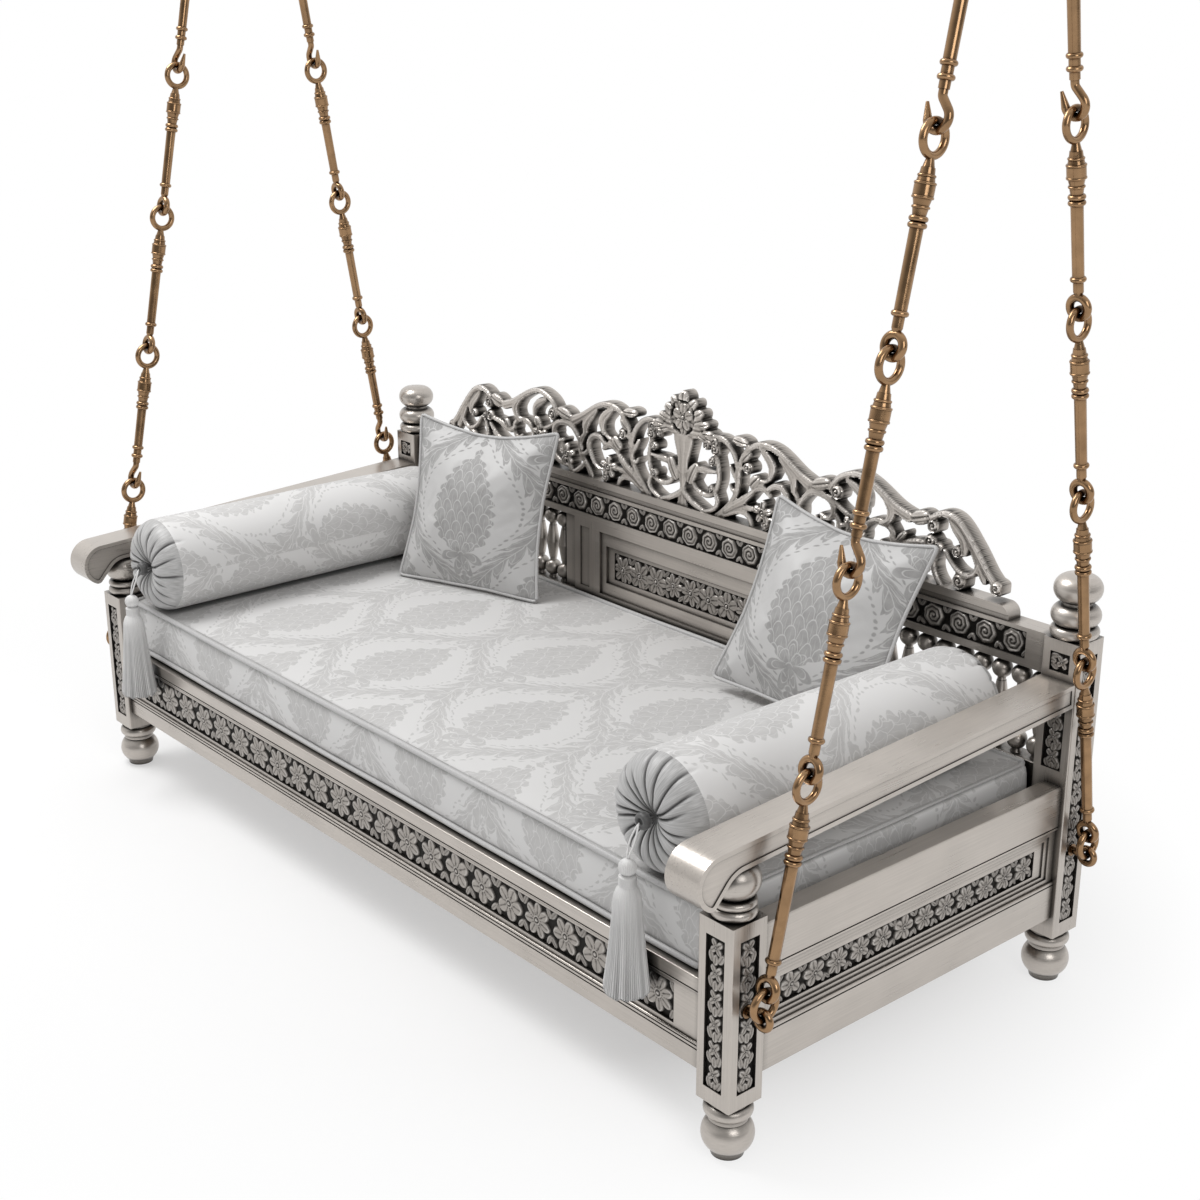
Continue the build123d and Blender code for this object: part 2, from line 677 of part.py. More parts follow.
parts["pillow_left"] = pillow(left_pillow_place, left_pillow_turn, left_pillow_lean, left_pillow_roll)
parts["pillow_right"] = pillow(right_pillow_place, right_pillow_turn, right_pillow_lean, right_pillow_roll)

# ---------------------------------------------------------------- tassels
button_face = bolster_front - button_height
tassel_y = -half_depth + face_setback - contact_gap - tassel_skirt_radius
tassel_top = bolster_z - tassel_drop


def tassel():
    """Tassel on the right bolster: ball head, bound neck and a flaring skirt of threads."""
    low = tassel_top - 2 * tassel_ball_radius - tassel_band_height - tassel_skirt_height
    steps = [("taper", tassel_skirt_radius - 3, tassel_skirt_radius, 12),
             ("taper", tassel_skirt_radius, tassel_band_radius + 1, tassel_skirt_height - 12),
             ("taper", tassel_band_radius, tassel_band_radius, tassel_band_height),
             ("bead", tassel_band_radius - 5, tassel_ball_radius, 2 * tassel_ball_radius)]
    return turned(bolster_x, tassel_y, low, steps)


def tassel_cord():
    """Straight cord from the middle of the button's face to the top of the tassel's head."""
    start = Vector(bolster_x, button_face - contact_gap, bolster_z)
    end = Vector(bolster_x, tassel_y, tassel_top)
    along = end - start
    cord = Plane(origin=start, z_dir=along) * extrude(Circle(tassel_cord_radius), along.length)
    reach = 4 * tassel_cord_radius
    behind = block(bolster_x - reach, bolster_x + reach, start.Y, start.Y + reach, start.Z - reach, start.Z + reach)
    return cord - behind


tassel_solid = tassel()
both_sides("tassel", tassel_solid)
both_sides("tassel_cord", tassel_cord() - tassel_solid)


# ---------------------------------------------------------------- chains
def ring(radius, wire, centre, axis):
    """Round wire ring about an axis."""
    return Plane(origin=centre, z_dir=axis) * Torus(radius, wire)


def closed_loop():
    """Small closed loop at the foot of a link, in the local XZ plane, its wire through the origin."""
    return ring(loop_radius, loop_wire, (0, 0, loop_radius), (0, 1, 0)), 2 * loop_radius


def open_hook():
    """S-bent hook at the foot of a link: its bend passes through the origin, its tip points up."""
    r = loop_radius + 1.5
    lean_angle = radians(40)
    start = (r * cos(lean_angle), 0, r + r * sin(lean_angle))
    along = (sin(lean_angle), -cos(lean_angle))
    knee_z = start[2] + start[0] * along[1] / -along[0]
    bend = 9 * tan(lean_angle / 2)
    knee_top = (0, 0, knee_z + bend)
    knee_low = (bend * along[0], 0, knee_z + bend * along[1])
    last = radians(195)
    end = (r * cos(last), 0, r + r * sin(last))
    top = (0, 0, knee_z + bend + 6)
    path = Wire([Line(top, knee_top), TangentArc(knee_top, knee_low, tangent=(0, 0, -1)), Line(knee_low, start),
                 ThreePointArc(start, (0, 0, 0), end)])
    solid = sweep(Plane(origin=top, z_dir=(0, 0, -1)) * Circle(loop_wire), path=path)
    flare = (sin(last), 0, -cos(last))
    tip = Plane(origin=end, z_dir=flare) * Pos(0, 0, 11) * Cone(loop_wire, 2.2, 22)
    return solid + tip, top[2] - 1


def link(length, hooked):
    """One link along +Z: loop or hook at the origin, turned shaft, ring eye with its wire at length."""
    foot_solid, shaft_low = open_hook() if hooked else closed_loop()
    eye = ring(ring_radius, ring_wire, (0, 0, length - ring_radius), (1, 0, 0))
    shaft_high = length - 2 * ring_radius
    stem, rod, bead, drum = link_stem_radius, link_rod_radius, link_bead_radius, link_drum_radius
    upper = [("bead", rod, bead, 8), ("bead", rod, bead, 8), ("taper", rod, rod + 1.2, 8),
             ("bead", rod + 1, rod + 3, 4), ("taper", rod + 1.2, rod + 3, 8), ("bead", drum - 1.6, drum, 4),
             ("taper", drum - 0.8, drum - 0.8, 13), ("bead", drum - 1.6, drum, 4), ("taper", rod + 3, rod + 2, 5),
             ("bead", rod + 1.4, rod + 3, 4), ("taper", rod + 1, rod, 8), ("taper", rod - 1, 4.5, 14)]
    lower_bead = [("taper", 4.5, stem, 8), ("taper", stem, stem, 14), ("bead", stem, bead - 1, 8)]
    if hooked:
        lower_bead = [("taper", stem, stem, 10), ("bead", stem, bead - 1, 8), ("taper", stem + 0.6, stem + 0.6, 9),
                      ("bead", stem, bead - 1, 8)]
    used = sum(step[3] for step in upper) + sum(step[3] for step in lower_bead)
    plain = shaft_high - shaft_low - used
    steps = lower_bead + [("taper", rod - 0.4, rod, plain)] + upper
    shaft = turned(0, 0, shaft_low, steps)
    return foot_solid + shaft + eye


def chain_geometry(y_sign):
    """Base point, unit direction and link length of a right-hand chain."""
    spread = top_ring_spread if y_sign < 0 else -top_ring_spread
    base = Vector(half_length + eye_stand_off, y_sign * post_y, eye_height)
    apex = Vector(hang_x + spread, hang_y, hang_z)
    along = apex - base
    hold = loop_wire + ring_wire + contact_gap
    base_hold = eye_wire + ring_wire + contact_gap
    top_hold = hanger_wire + ring_wire + top_ring_play
    total = along.length + top_hold + base_hold - 2 * ring_radius + hold + (link_count - 1) * hold
    length = (total - lowest_link_extra) / link_count
    return base, along.normalized(), length, hold, base_hold


def chain(y_sign, hooks, side):
    """All solids of one chain: the loose base ring and the links, drawn on the right side."""
    base, along, length, hold, base_hold = chain_geometry(y_sign)
    outward = Vector(1, 0, 0)
    solids = []
    centre = base + along * (ring_radius - base_hold)
    sideways = (outward - along * outward.dot(along)).normalized()
    solids.append(ring(ring_radius, ring_wire, centre, sideways))
    reach = 2 * ring_radius - base_hold - hold
    for i in range(link_count):
        size = length + (lowest_link_extra if i == 0 else 0)
        place = Plane(origin=base + along * reach, x_dir=sideways, z_dir=along)
        solids.append(place * link(size, i in hooks))
        reach += size - hold
    return solids if side == "right" else [mirrored(s) for s in solids]


for name, hooks in hook_links.items():
    row, side = name.split("_")
    parts["chain_" + name] = chain(-1 if row == "front" else 1, hooks, side)


def eye_bolt(y_sign):
    """Screwed eye in the outer face of a post, with a collar that seats on the wood."""
    x = half_length + eye_stand_off
    y = y_sign * post_y
    z = eye_height - eye_radius
    eye = ring(eye_radius, eye_wire, (x, y, z), (0, 1, 0))
    neck_end = x - eye_radius
    shank_start = half_length - shank_depth
    shank = Pos((shank_start + neck_end) / 2, y, z) * Cylinder(shank_radius, neck_end - shank_start,
                                                            rotation=(0, 90, 0))
    field = half_length - carving_depth
    collar = Pos(field + collar_height / 2, y, z) * Cylinder(collar_radius, collar_height, rotation=(0, 90, 0))
    return eye + shank + collar


def bolt_hole(y_sign):
    """Hole for an eye bolt's shank."""
    centre = (half_length - shank_depth / 2, y_sign * post_y, eye_height - eye_radius)
    return Pos(*centre) * Cylinder(shank_radius + running_clearance, shank_depth + 2, rotation=(0, 90, 0))


bolts = [eye_bolt(-1), eye_bolt(1)]
parts["eye_bolts"] = bolts + [mirrored(b) for b in bolts]
both_sides("front_post", parts["front_post_right"] - bolt_hole(-1))
both_sides("rear_post", parts["rear_post_right"] - bolt_hole(1))


# ---------------------------------------------------------------- ceiling fittings
def ceiling_bracket():
    """Ceiling plate with two cheeks that carry the axle."""
    plate = block(hang_x - plate_width / 2, hang_x + plate_width / 2, hang_y - plate_length / 2,
                  hang_y + plate_length / 2, ceiling_height - plate_thickness, ceiling_height)
    plate = fillet(plate.edges().filter_by(Axis.Z), plate_round)
    for side in (-1, 1):
        plate -= Pos(hang_x, hang_y + side * plate_bolt_spacing / 2, ceiling_height) * Cylinder(
            plate_bolt_radius, 3 * plate_thickness)
    inner = hanger_eye_width / 2 + cheek_gap
    for side in (-1, 1):
        x = hang_x + side * (inner + cheek_thickness / 2)
        cheek = Pos(x, hang_y, axle_z) * Cylinder(cheek_radius, cheek_thickness, rotation=(0, 90, 0))
        cheek += block(x - cheek_thickness / 2, x + cheek_thickness / 2, hang_y - cheek_radius,
                       hang_y + cheek_radius, axle_z, ceiling_height - plate_thickness)
        plate += cheek
    bore = Cylinder(axle_radius + running_clearance, 4 * inner, rotation=(0, 90, 0))
    return plate - Pos(hang_x, hang_y, axle_z) * bore


def axle():
    """Bolt through the cheeks, with a hexagonal head."""
    outer = hanger_eye_width / 2 + cheek_gap + cheek_thickness
    end = outer + nut_height + 3
    place = Plane(origin=(hang_x, hang_y, axle_z), z_dir=(1, 0, 0))
    shank = Cylinder(axle_radius, outer + end, align=(Align.CENTER, Align.CENTER, Align.MIN))
    head = extrude(RegularPolygon(nut_radius, 6), -nut_height)
    return place * Pos(0, 0, -outer) * (shank + head)


def axle_nut():
    """Hexagonal nut on the axle's end."""
    outer = hanger_eye_width / 2 + cheek_gap + cheek_thickness
    place = Plane(origin=(hang_x + outer, hang_y, axle_z), z_dir=(1, 0, 0))
    nut = RegularPolygon(nut_radius, 6) - Circle(axle_radius + running_clearance)
    return place * extrude(nut, nut_height)


def hanger():
    """Swing hanger: bushed eye on the axle, short shank and a delta loop for the two chains."""
    loop_top = hanger_half_width * 1.75
    a, b, c = (-hanger_half_width, 0), (hanger_half_width, 0), (0, loop_top)
    outline = fillet(Polyline(a, b, c, close=True).vertices(), hanger_corner)
    path = Plane(origin=(hang_x, hang_y, hang_z), x_dir=(1, 0, 0), z_dir=(0, -1, 0)) * outline
    start = path.edges()[0]
    section = Plane(origin=start @ 0.5, z_dir=start % 0.5) * Circle(hanger_wire)
    loop = sweep(section, path=path)
    eye = Cylinder(hanger_eye_radius, hanger_eye_width, rotation=(0, 90, 0))
    eye = Pos(hang_x, hang_y, axle_z) * eye
    shank_low = hang_z + loop_top - hanger_corner
    shank = Pos(hang_x, hang_y, (shank_low + axle_z) / 2) * Cylinder(8, axle_z - shank_low)
    bore = Cylinder(axle_radius + bush_wall, hanger_eye_width + 2, rotation=(0, 90, 0))
    return loop + shank + eye - Pos(hang_x, hang_y, axle_z) * bore


def hanger_bush():
    """Bronze bush pressed into the hanger's eye; it runs on the axle."""
    wall = Circle(axle_radius + bush_wall) - Circle(axle_radius + running_clearance)
    place = Plane(origin=(hang_x - hanger_eye_width / 2, hang_y, axle_z), z_dir=(1, 0, 0))
    return place * extrude(wall, hanger_eye_width)


both_sides("ceiling_bracket", ceiling_bracket())
parts["axle_bolts"] = [axle(), mirrored(axle())]
parts["axle_nuts"] = [axle_nut(), mirrored(axle_nut())]
both_sides("hanger", hanger())
both_sides("hanger_bush", hanger_bush())

# ---------------------------------------------------------------- export
os.makedirs("parts", exist_ok=True)
to_frame = Pos(0, -hang_y, -ceiling_height)
for node_name, shape in parts.items():
    solids = shape if isinstance(shape, list) else [shape]
    placed = [to_frame * solid for solid in solids]
    whole = placed[0] if len(placed) == 1 else Compound(children=placed)
    export_step(whole, f"parts/{node_name}.step")
print(len(parts), "nodes")
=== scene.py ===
import logging
import math
from collections.abc import Sequence
from dataclasses import dataclass
from enum import Enum

import bmesh
import bpy
import numpy as np
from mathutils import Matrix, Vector


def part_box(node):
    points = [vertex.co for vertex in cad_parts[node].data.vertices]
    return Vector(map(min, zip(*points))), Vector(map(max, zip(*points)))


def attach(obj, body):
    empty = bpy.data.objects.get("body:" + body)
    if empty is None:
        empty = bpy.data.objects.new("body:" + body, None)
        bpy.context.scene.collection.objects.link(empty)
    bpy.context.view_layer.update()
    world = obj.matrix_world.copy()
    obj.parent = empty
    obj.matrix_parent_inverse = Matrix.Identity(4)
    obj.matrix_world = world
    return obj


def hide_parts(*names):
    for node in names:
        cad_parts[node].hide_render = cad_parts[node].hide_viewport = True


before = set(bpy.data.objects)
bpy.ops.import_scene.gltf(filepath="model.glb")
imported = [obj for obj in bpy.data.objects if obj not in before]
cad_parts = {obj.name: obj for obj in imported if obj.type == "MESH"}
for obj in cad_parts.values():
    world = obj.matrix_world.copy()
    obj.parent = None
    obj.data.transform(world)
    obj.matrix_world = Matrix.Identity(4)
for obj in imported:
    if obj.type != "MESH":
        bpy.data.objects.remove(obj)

LOG = logging.getLogger("jhoola")
MM = 0.001


# ------------------------------------------------------------------ shader nodes
class Value:
    """A node socket that reads as a number, so that shader maths is written as Python arithmetic."""

    def __init__(self, tree: "Tree", socket: bpy.types.NodeSocket) -> None:
        """Keeps the tree and the socket."""
        self.tree = tree
        self.socket = socket

    def math(self, operation: str, *others: "Value | float") -> "Value":
        """Adds a Math node of that operation whose first input is this value."""
        return self.tree.node("ShaderNodeMath", {"operation": operation}, dict(enumerate((self, *others))))[0]

    def flipped(self, operation: str, other: float) -> "Value":
        """Adds a Math node of that operation whose second input is this value."""
        return self.tree.node("ShaderNodeMath", {"operation": operation}, {0: other, 1: self})[0]

    def __add__(self, other: "Value | float") -> "Value":
        """This plus other."""
        return self.math("ADD", other)

    def __radd__(self, other: float) -> "Value":
        """Other plus this."""
        return self.flipped("ADD", other)

    def __sub__(self, other: "Value | float") -> "Value":
        """This minus other."""
        return self.math("SUBTRACT", other)

    def __rsub__(self, other: float) -> "Value":
        """Other minus this."""
        return self.flipped("SUBTRACT", other)

    def __mul__(self, other: "Value | float") -> "Value":
        """This times other."""
        return self.math("MULTIPLY", other)

    def __rmul__(self, other: float) -> "Value":
        """Other times this."""
        return self.flipped("MULTIPLY", other)

    def __truediv__(self, other: "Value | float") -> "Value":
        """This over other."""
        return self.math("DIVIDE", other)

    def __pow__(self, other: float) -> "Value":
        """This to the power of other."""
        return self.math("POWER", other)

    def __abs__(self) -> "Value":
        """This without its sign."""
        return self.math("ABSOLUTE")

    def beside(self, other: "Value") -> "Value":
        """Length of the vector of this value and another at right angles to it."""
        return (self * self + other * other).math("SQRT")

    def held(self, least: float = 0.0, most: float = 1.0) -> "Value":
        """This value kept between two numbers."""
        return self.math("MINIMUM", most).math("MAXIMUM", least)

    def below(self, edge: "Value | float", blur: float) -> "Value":
        """Soft step from 1 below the edge to 0 above it: half less the distance past the edge over twice the blur."""
        return ((edge - self) / (2 * blur) + 0.5).held()


class Outputs:
    """The outputs of a node, read by number or by name."""

    def __init__(self, tree: "Tree", made: bpy.types.Node) -> None:
        """Keeps the tree and the node."""
        self.tree = tree
        self.made = made

    def __getitem__(self, key: int | str) -> Value:
        """The output of that number or name."""
        return Value(self.tree, self.made.outputs[key])


class Tree:
    """The node tree of a new material or of the world."""

    def __init__(self, owner: bpy.types.Material | bpy.types.World) -> None:
        """Empties the owner's tree.

        Args:
            owner: a new material or world.
        """
        owner.use_nodes = True
        self.owner = owner
        self.nodes = owner.node_tree.nodes
        self.links = owner.node_tree.links
        self.nodes.clear()

    def node(self, kind: str, settings: dict | None = None, inputs: dict | None = None) -> Outputs:
        """Adds a node.

        Args:
            kind: the node's type.
            settings: its properties.
            inputs: values or links of its sockets, by number or by name.
        Returns:
            The node's outputs.
        """
        made = self.nodes.new(kind)
        for key, value in (settings or {}).items():
            setattr(made, key, value)
        for key, value in (inputs or {}).items():
            if isinstance(value, Value):
                self.links.new(value.socket, made.inputs[key])
            else:
                made.inputs[key].default_value = value
        return Outputs(self, made)

    def mix(self, factor: Value | float, first: Value | tuple, second: Value | tuple) -> Value:
        """Mixes two colours: a factor of 0 gives the first and 1 the second."""
        return self.node("ShaderNodeMix", {"data_type": "RGBA"}, {0: factor, 6: first, 7: second})[2]

    def noise(self, place: Value, scale: float, detail: float = 2.0) -> Value:
        """A noise from 0 to 1 with that many cells in a metre and that many octaves."""
        return self.node("ShaderNodeTexNoise", {}, {"Vector": place, "Scale": scale, "Detail": detail})["Fac"]

    def stretched(self, place: Value, stretch: tuple[float, float, float]) -> Value:
        """Coordinates times a factor on each axis."""
        return self.node("ShaderNodeMapping", {}, {"Vector": place, "Scale": stretch})[0]

    def object_place(self, stretch: tuple[float, float, float] = (1, 1, 1)) -> Value:
        """Object coordinates times a factor on each axis."""
        return self.stretched(self.node("ShaderNodeTexCoord")["Object"], stretch)

    def cloth_place(self) -> Value:
        """The cloth's own coordinates in metres."""
        return self.node("ShaderNodeUVMap", {"uv_map": "cloth"})[0]

    def occlusion_shade(self, reach: float) -> Value:
        """Ambient occlusion for painting shade into colour: 1 in the open and near 0 in crevices narrower than the
        reach in metres.
        """
        return self.node("ShaderNodeAmbientOcclusion", {"samples": 6, "only_local": False}, {"Distance": reach})["AO"]

    def attribute(self, name: str) -> Value:
        """A number painted on the mesh, 0 where the mesh has none."""
        return self.node("ShaderNodeAttribute", {"attribute_name": name})["Fac"]

    def bump(self, height: Value, distance: float, strength: float = 1.0) -> Value:
        """A Bump node's normal for a height of that distance in metres."""
        return self.node("ShaderNodeBump", {}, {"Height": height, "Distance": distance, "Strength": strength})[0]

    def surface(self, colour: Value, rough: Value | float, normal: Value, **more: float) -> bpy.types.Material:
        """Ends a material in a Principled shader.

        Args:
            colour: base colour.
            rough: roughness.
            normal: bumped normal.
            more: fixed inputs by name, with underscores for spaces.
        Returns:
            The material.
        """
        inputs = {"Base Color": colour, "Roughness": rough, "Normal": normal}
        inputs |= {name.replace("_", " "): value for name, value in more.items()}
        shader = self.node("ShaderNodeBsdfPrincipled", {}, inputs)
        self.node("ShaderNodeOutputMaterial", {}, {"Surface": shader[0]})
        return self.owner


def new_finish(name: str) -> Tree:
    """The empty node tree of a new material."""
    return Tree(bpy.data.materials.new(name))


def grey(level: float, warm: float = 0.0) -> tuple[float, float, float, float]:
    """A colour at a grey level, warmer by a share of it."""
    return (level * (1 + warm), level, level * (1 - warm), 1.0)


class Grain(Enum):
    """Direction that the brush marks run in: coordinates are squeezed along it."""

    X = (7.0, 420.0, 420.0)
    Y = (420.0, 7.0, 420.0)
    Z = (420.0, 420.0, 7.0)
    ROUND = (60.0, 60.0, 520.0)


@dataclass(frozen=True)
class PewterWood:
    """Carved hardwood under brushed pewter-coloured leaf, dark in its hollows from antique darkening and painted
    shade, with a painted highlight on its ridges.
    """

    name: str
    grain: Grain
    light: float = 0.47
    # Colour of the crevices: antique darkening deepened by painted shade.
    dark: float = 0.010
    warm: float = 0.085
    metal: float = 0.80
    gloss: float = 0.31

    def material(self) -> bpy.types.Material:
        """Builds the finish: streaks along the grain, patches of wear, antique darkening and painted shade in
        crevices, polish and a painted highlight on ridges.

        Returns:
            The material.
        """
        tree = new_finish(self.name)
        streak = tree.noise(tree.object_place(self.grain.value), 1.0, 3.0)
        patch = tree.noise(tree.object_place(), 9.0, 3.0)
        patina_and_shade = tree.attribute("patina_and_shade")
        # Painted shade: ambient occlusion and the darkening painted on the mesh pull crevices towards the dark
        # colour.
        clear_of_shade_and_age = (tree.occlusion_shade(0.018) ** 2.6 * (1.0 - patina_and_shade)).math("MAXIMUM", 0.0)
        tone = (streak - 0.5) * 0.36 + (patch - 0.5) * 0.40 + 0.5
        face = tree.mix(tone, grey(self.light * 0.60, self.warm), grey(self.light * 1.40, self.warm))
        # Painted highlight, with some polish from wear: the ridges marked on the mesh go towards a much lighter grey.
        polish_and_highlight = tree.mix(tree.attribute("wear_and_painted_light"), face, grey(self.light * 2.1, self.warm * 0.6))
        colour = tree.mix(clear_of_shade_and_age, grey(self.dark, self.warm * 2), polish_and_highlight)
        rough = (streak - 0.5) * 0.16 + (patch - 0.5) * 0.12 + patina_and_shade * 0.25 + self.gloss
        return tree.surface(colour, rough, tree.bump(streak, 0.00012, 0.5), Metallic=self.metal)


@dataclass(frozen=True)
class Metal:
    """Metal with a drawn surface, and oxide deepened by painted shade in its crevices."""

    name: str
    bright: tuple[float, float, float]
    tarnish_and_shade: tuple[float, float, float]
    gloss: float = 0.27

    def material(self) -> bpy.types.Material:
        """Builds the finish: turning marks round the shafts, oxide and painted shade where shapes meet.

        Returns:
            The material.
        """
        tree = new_finish(self.name)
        marks = tree.noise(tree.object_place(Grain.ROUND.value), 1.0, 2.0)
        cloud = tree.noise(tree.object_place(), 38.0, 4.0)
        # Painted shade: ambient occlusion pulls crevices towards the dark oxide colour, with cloudy wear between.
        wear_and_painted_light = tree.occlusion_shade(0.009) ** 2.2 * (cloud * 0.9 + 0.45)
        colour = tree.mix(wear_and_painted_light.math("MINIMUM", 1.0), (*self.tarnish_and_shade, 1.0), (*self.bright, 1.0))
        rough = (cloud - 0.5) * 0.25 + (marks - 0.5) * 0.12 + self.gloss
        return tree.surface(colour, rough, tree.bump(marks, 0.00008, 0.5), Metallic=1.0)


@dataclass(frozen=True)
class PlainWood:
    """Oiled boards of the hidden seat deck."""

    name: str
    light: tuple[float, float, float] = (0.33, 0.22, 0.13)
    dark: tuple[float, float, float] = (0.17, 0.10, 0.055)

    def material(self) -> bpy.types.Material:
        """Builds the finish: long grain lines and a slow change of tone from board to board.

        Returns:
            The material.
        """
        tree = new_finish(self.name)
        line = tree.noise(tree.object_place((2.5, 60.0, 60.0)), 1.0, 5.0)
        slow = tree.noise(tree.object_place((0.6, 7.0, 7.0)), 1.0, 2.0)
        colour = tree.mix(line * 0.7 + slow * 0.6 - 0.15, (*self.dark, 1.0), (*self.light, 1.0))
        return tree.surface(colour, line * 0.2 + 0.45, tree.bump(line, 0.0003, 0.6))


@dataclass(frozen=True)
class Damask:
    """Tone-on-tone damask: scaled medallions in a lattice of curling leaf bands."""

    name: str
    ground: float = 0.60
    figure: float = 0.37
    contrast: float = 1.0
    width: float = 0.34
    height: float = 0.44
    wander: float = 0.012

    def medallion(self, across: Value, up: Value) -> tuple[Value, Value]:
        """A drop-shaped medallion of overlapping pointed scales, with a spray of leaves at its foot.

        The half width of the drop is 0.16 m times the root of t times (1 - t) to the 0.85, where t climbs
        from 0 at its foot to 1 at its tip. A scale is an oval that starts in its own row and laps over the
        row above, and every second row is moved by half a scale.

        Args:
            across: distance from its axis in metres, with its sign.
            up: height from its middle in metres.
        Returns:
            The figure, and the light lines in it.
        """
        climb = ((up + 0.095) / 0.205).held(0.001, 0.999)
        half = climb ** 0.5 * (1.0 - climb) ** 0.85 * 0.162
        lobe = abs((up * 153.0).math("SINE")) * 0.012
        inside = (abs(across) - lobe).below(half - 0.004, 0.0012)
        row = up / 0.0205 + 20.0
        step = row.math("FLOOR")
        part = row - step
        odd = step.math("MODULO", 2.0) * 0.5
        lines, front = None, None
        for lift, turn in ((1.0, 0.5), (0.0, 0.0)):
            x = (across / 0.0265 + odd + turn).math("WRAP", 0.5, -0.5) / 0.47
            y = (part + lift - 0.35) / 1.15
            reach = x.beside(y)
            line = abs(reach - 0.93).below(0.045, 0.03)
            vein = abs(x).below(0.05, 0.04) * y.below(0.50, 0.1)
            mark = line.math("MAXIMUM", vein * 0.45)
            lines = mark if lines is None else lines.math("MAXIMUM", mark * (1.0 - front))
            front = reach.below(0.96, 0.03)
        foot = up + 0.098
        leaf_reach = across.beside(foot)
        angle = abs(across).math("ARCTAN2", foot)
        finger = abs((angle * 3.4).math("COSINE")) * 0.040 + 0.012
        spray = leaf_reach.below(finger, 0.0015)
        spray_line = abs(leaf_reach - finger * 0.72).below(0.0012, 0.0006)
        figure = inside.math("MAXIMUM", spray)
        return figure, (inside * lines).math("MAXIMUM", spray * spray_line)

    def band(self, across: Value, up: Value) -> tuple[Value, Value, Value]:
        """A curling band of leaves with a row of beads beside it.

        The band follows a quarter width times (1 + cosine of the height), and its edges are cut into slanted
        lobes by a sine.

        Args:
            across: distance from the lattice's axis in metres.
            up: height in the lattice's cell in metres.
        Returns:
            The leaves, the light lines in them, and the beads.
        """
        middle = ((up * (2 * math.pi / self.height)).math("COSINE") + 1.0) * (self.width / 4)
        off = abs(abs(across) - middle)
        slant = (up + off * 1.1) * (2 * math.pi / 0.058)
        lobe = abs(slant.math("SINE"))
        tooth = abs((slant * 3.0).math("SINE")) * 0.005
        leaf = off.below(lobe * 0.026 + tooth + 0.004, 0.0012)
        vein = off.below(0.0012, 0.0005)
        rib = abs((slant * 1.5).math("SINE")).below(0.13, 0.05) * off.below(0.022, 0.004)
        edge_line = abs(off - (lobe * 0.021 + 0.004)).below(0.0011, 0.0005)
        bead = (off - 0.043).beside((up / 0.011).math("WRAP", 0.5, -0.5) * 0.011)
        lines = vein.math("MAXIMUM", rib * 0.8).math("MAXIMUM", edge_line * 0.8) * leaf
        return leaf, lines, bead.below(0.0030, 0.0008)

    def material(self) -> bpy.types.Material:
        """Builds the cloth: the figure from the cloth's own coordinates, weave, sheen and painted shade in creases.

        A medallion stands in each cell of a lattice whose second half is moved by half a cell.

        Returns:
            The material.
        """
        tree = new_finish(self.name)
        uv = tree.cloth_place()
        wander = tree.node("ShaderNodeTexNoise", {}, {"Vector": uv, "Scale": 30.0, "Detail": 3.0})["Color"]
        bend = tree.node("ShaderNodeVectorMath", {"operation": "SUBTRACT"}, {0: wander, 1: (0.5, 0.5, 0.5)})[0]
        bent = tree.node("ShaderNodeVectorMath", {"operation": "MULTIPLY_ADD"},
                         {0: bend, 1: (self.wander, self.wander, 0.0), 2: uv})[0]
        parts = tree.node("ShaderNodeSeparateXYZ", {}, {0: bent})
        half_w, half_h = self.width / 2, self.height / 2
        x, y = parts[0], parts[1]
        x_a, y_a = x.math("WRAP", half_w, -half_w), y.math("WRAP", half_h, -half_h)
        x_b = (x + half_w).math("WRAP", half_w, -half_w)
        y_b = (y + half_h).math("WRAP", half_h, -half_h)
        second = (abs(x_a) / half_w + abs(y_a) / half_h).math("GREATER_THAN", 1.0)
        medal_x, medal_y = x_a + (x_b - x_a) * second, y_a + (y_b - y_a) * second
        scales, light_line = self.medallion(medal_x, medal_y)
        leaf, leaf_line, beads = self.band(x_a, y_a)
        figure = scales.math("MAXIMUM", leaf).math("MAXIMUM", beads * (1.0 - scales))
        light_line = light_line.math("MAXIMUM", leaf_line)
        thread = tree.noise(tree.stretched(uv, (900.0, 220.0, 1.0)), 1.0, 2.0)
        cloud = tree.noise(uv, 14.0, 3.0)
        shade = tree.noise(uv, 55.0, 2.0)
        depth = figure * ((thread - 0.5) * 0.4 + (shade - 0.5) * 0.7 + 0.85) * self.contrast + (cloud - 0.5) * 0.18
        base = tree.mix(depth.math("MAXIMUM", 0.0), grey(self.ground, 0.010), grey(self.figure, 0.016))
        figured = tree.mix(light_line * 0.75 * self.contrast, base, grey(self.ground * 1.10, 0.008))
        # Painted shade: ambient occlusion darkens the cloth in creases and beside the piping.
        colour = tree.mix(tree.occlusion_shade(0.012) ** 1.4, grey(0.10, 0.02), figured)
        height = thread * 0.35 - figure * 0.5 + light_line * 0.45
        return tree.surface(colour, figure * 0.18 + 0.52, tree.bump(height, 0.0006, 0.4), Sheen_Weight=0.2,
                            Sheen_Roughness=0.45)


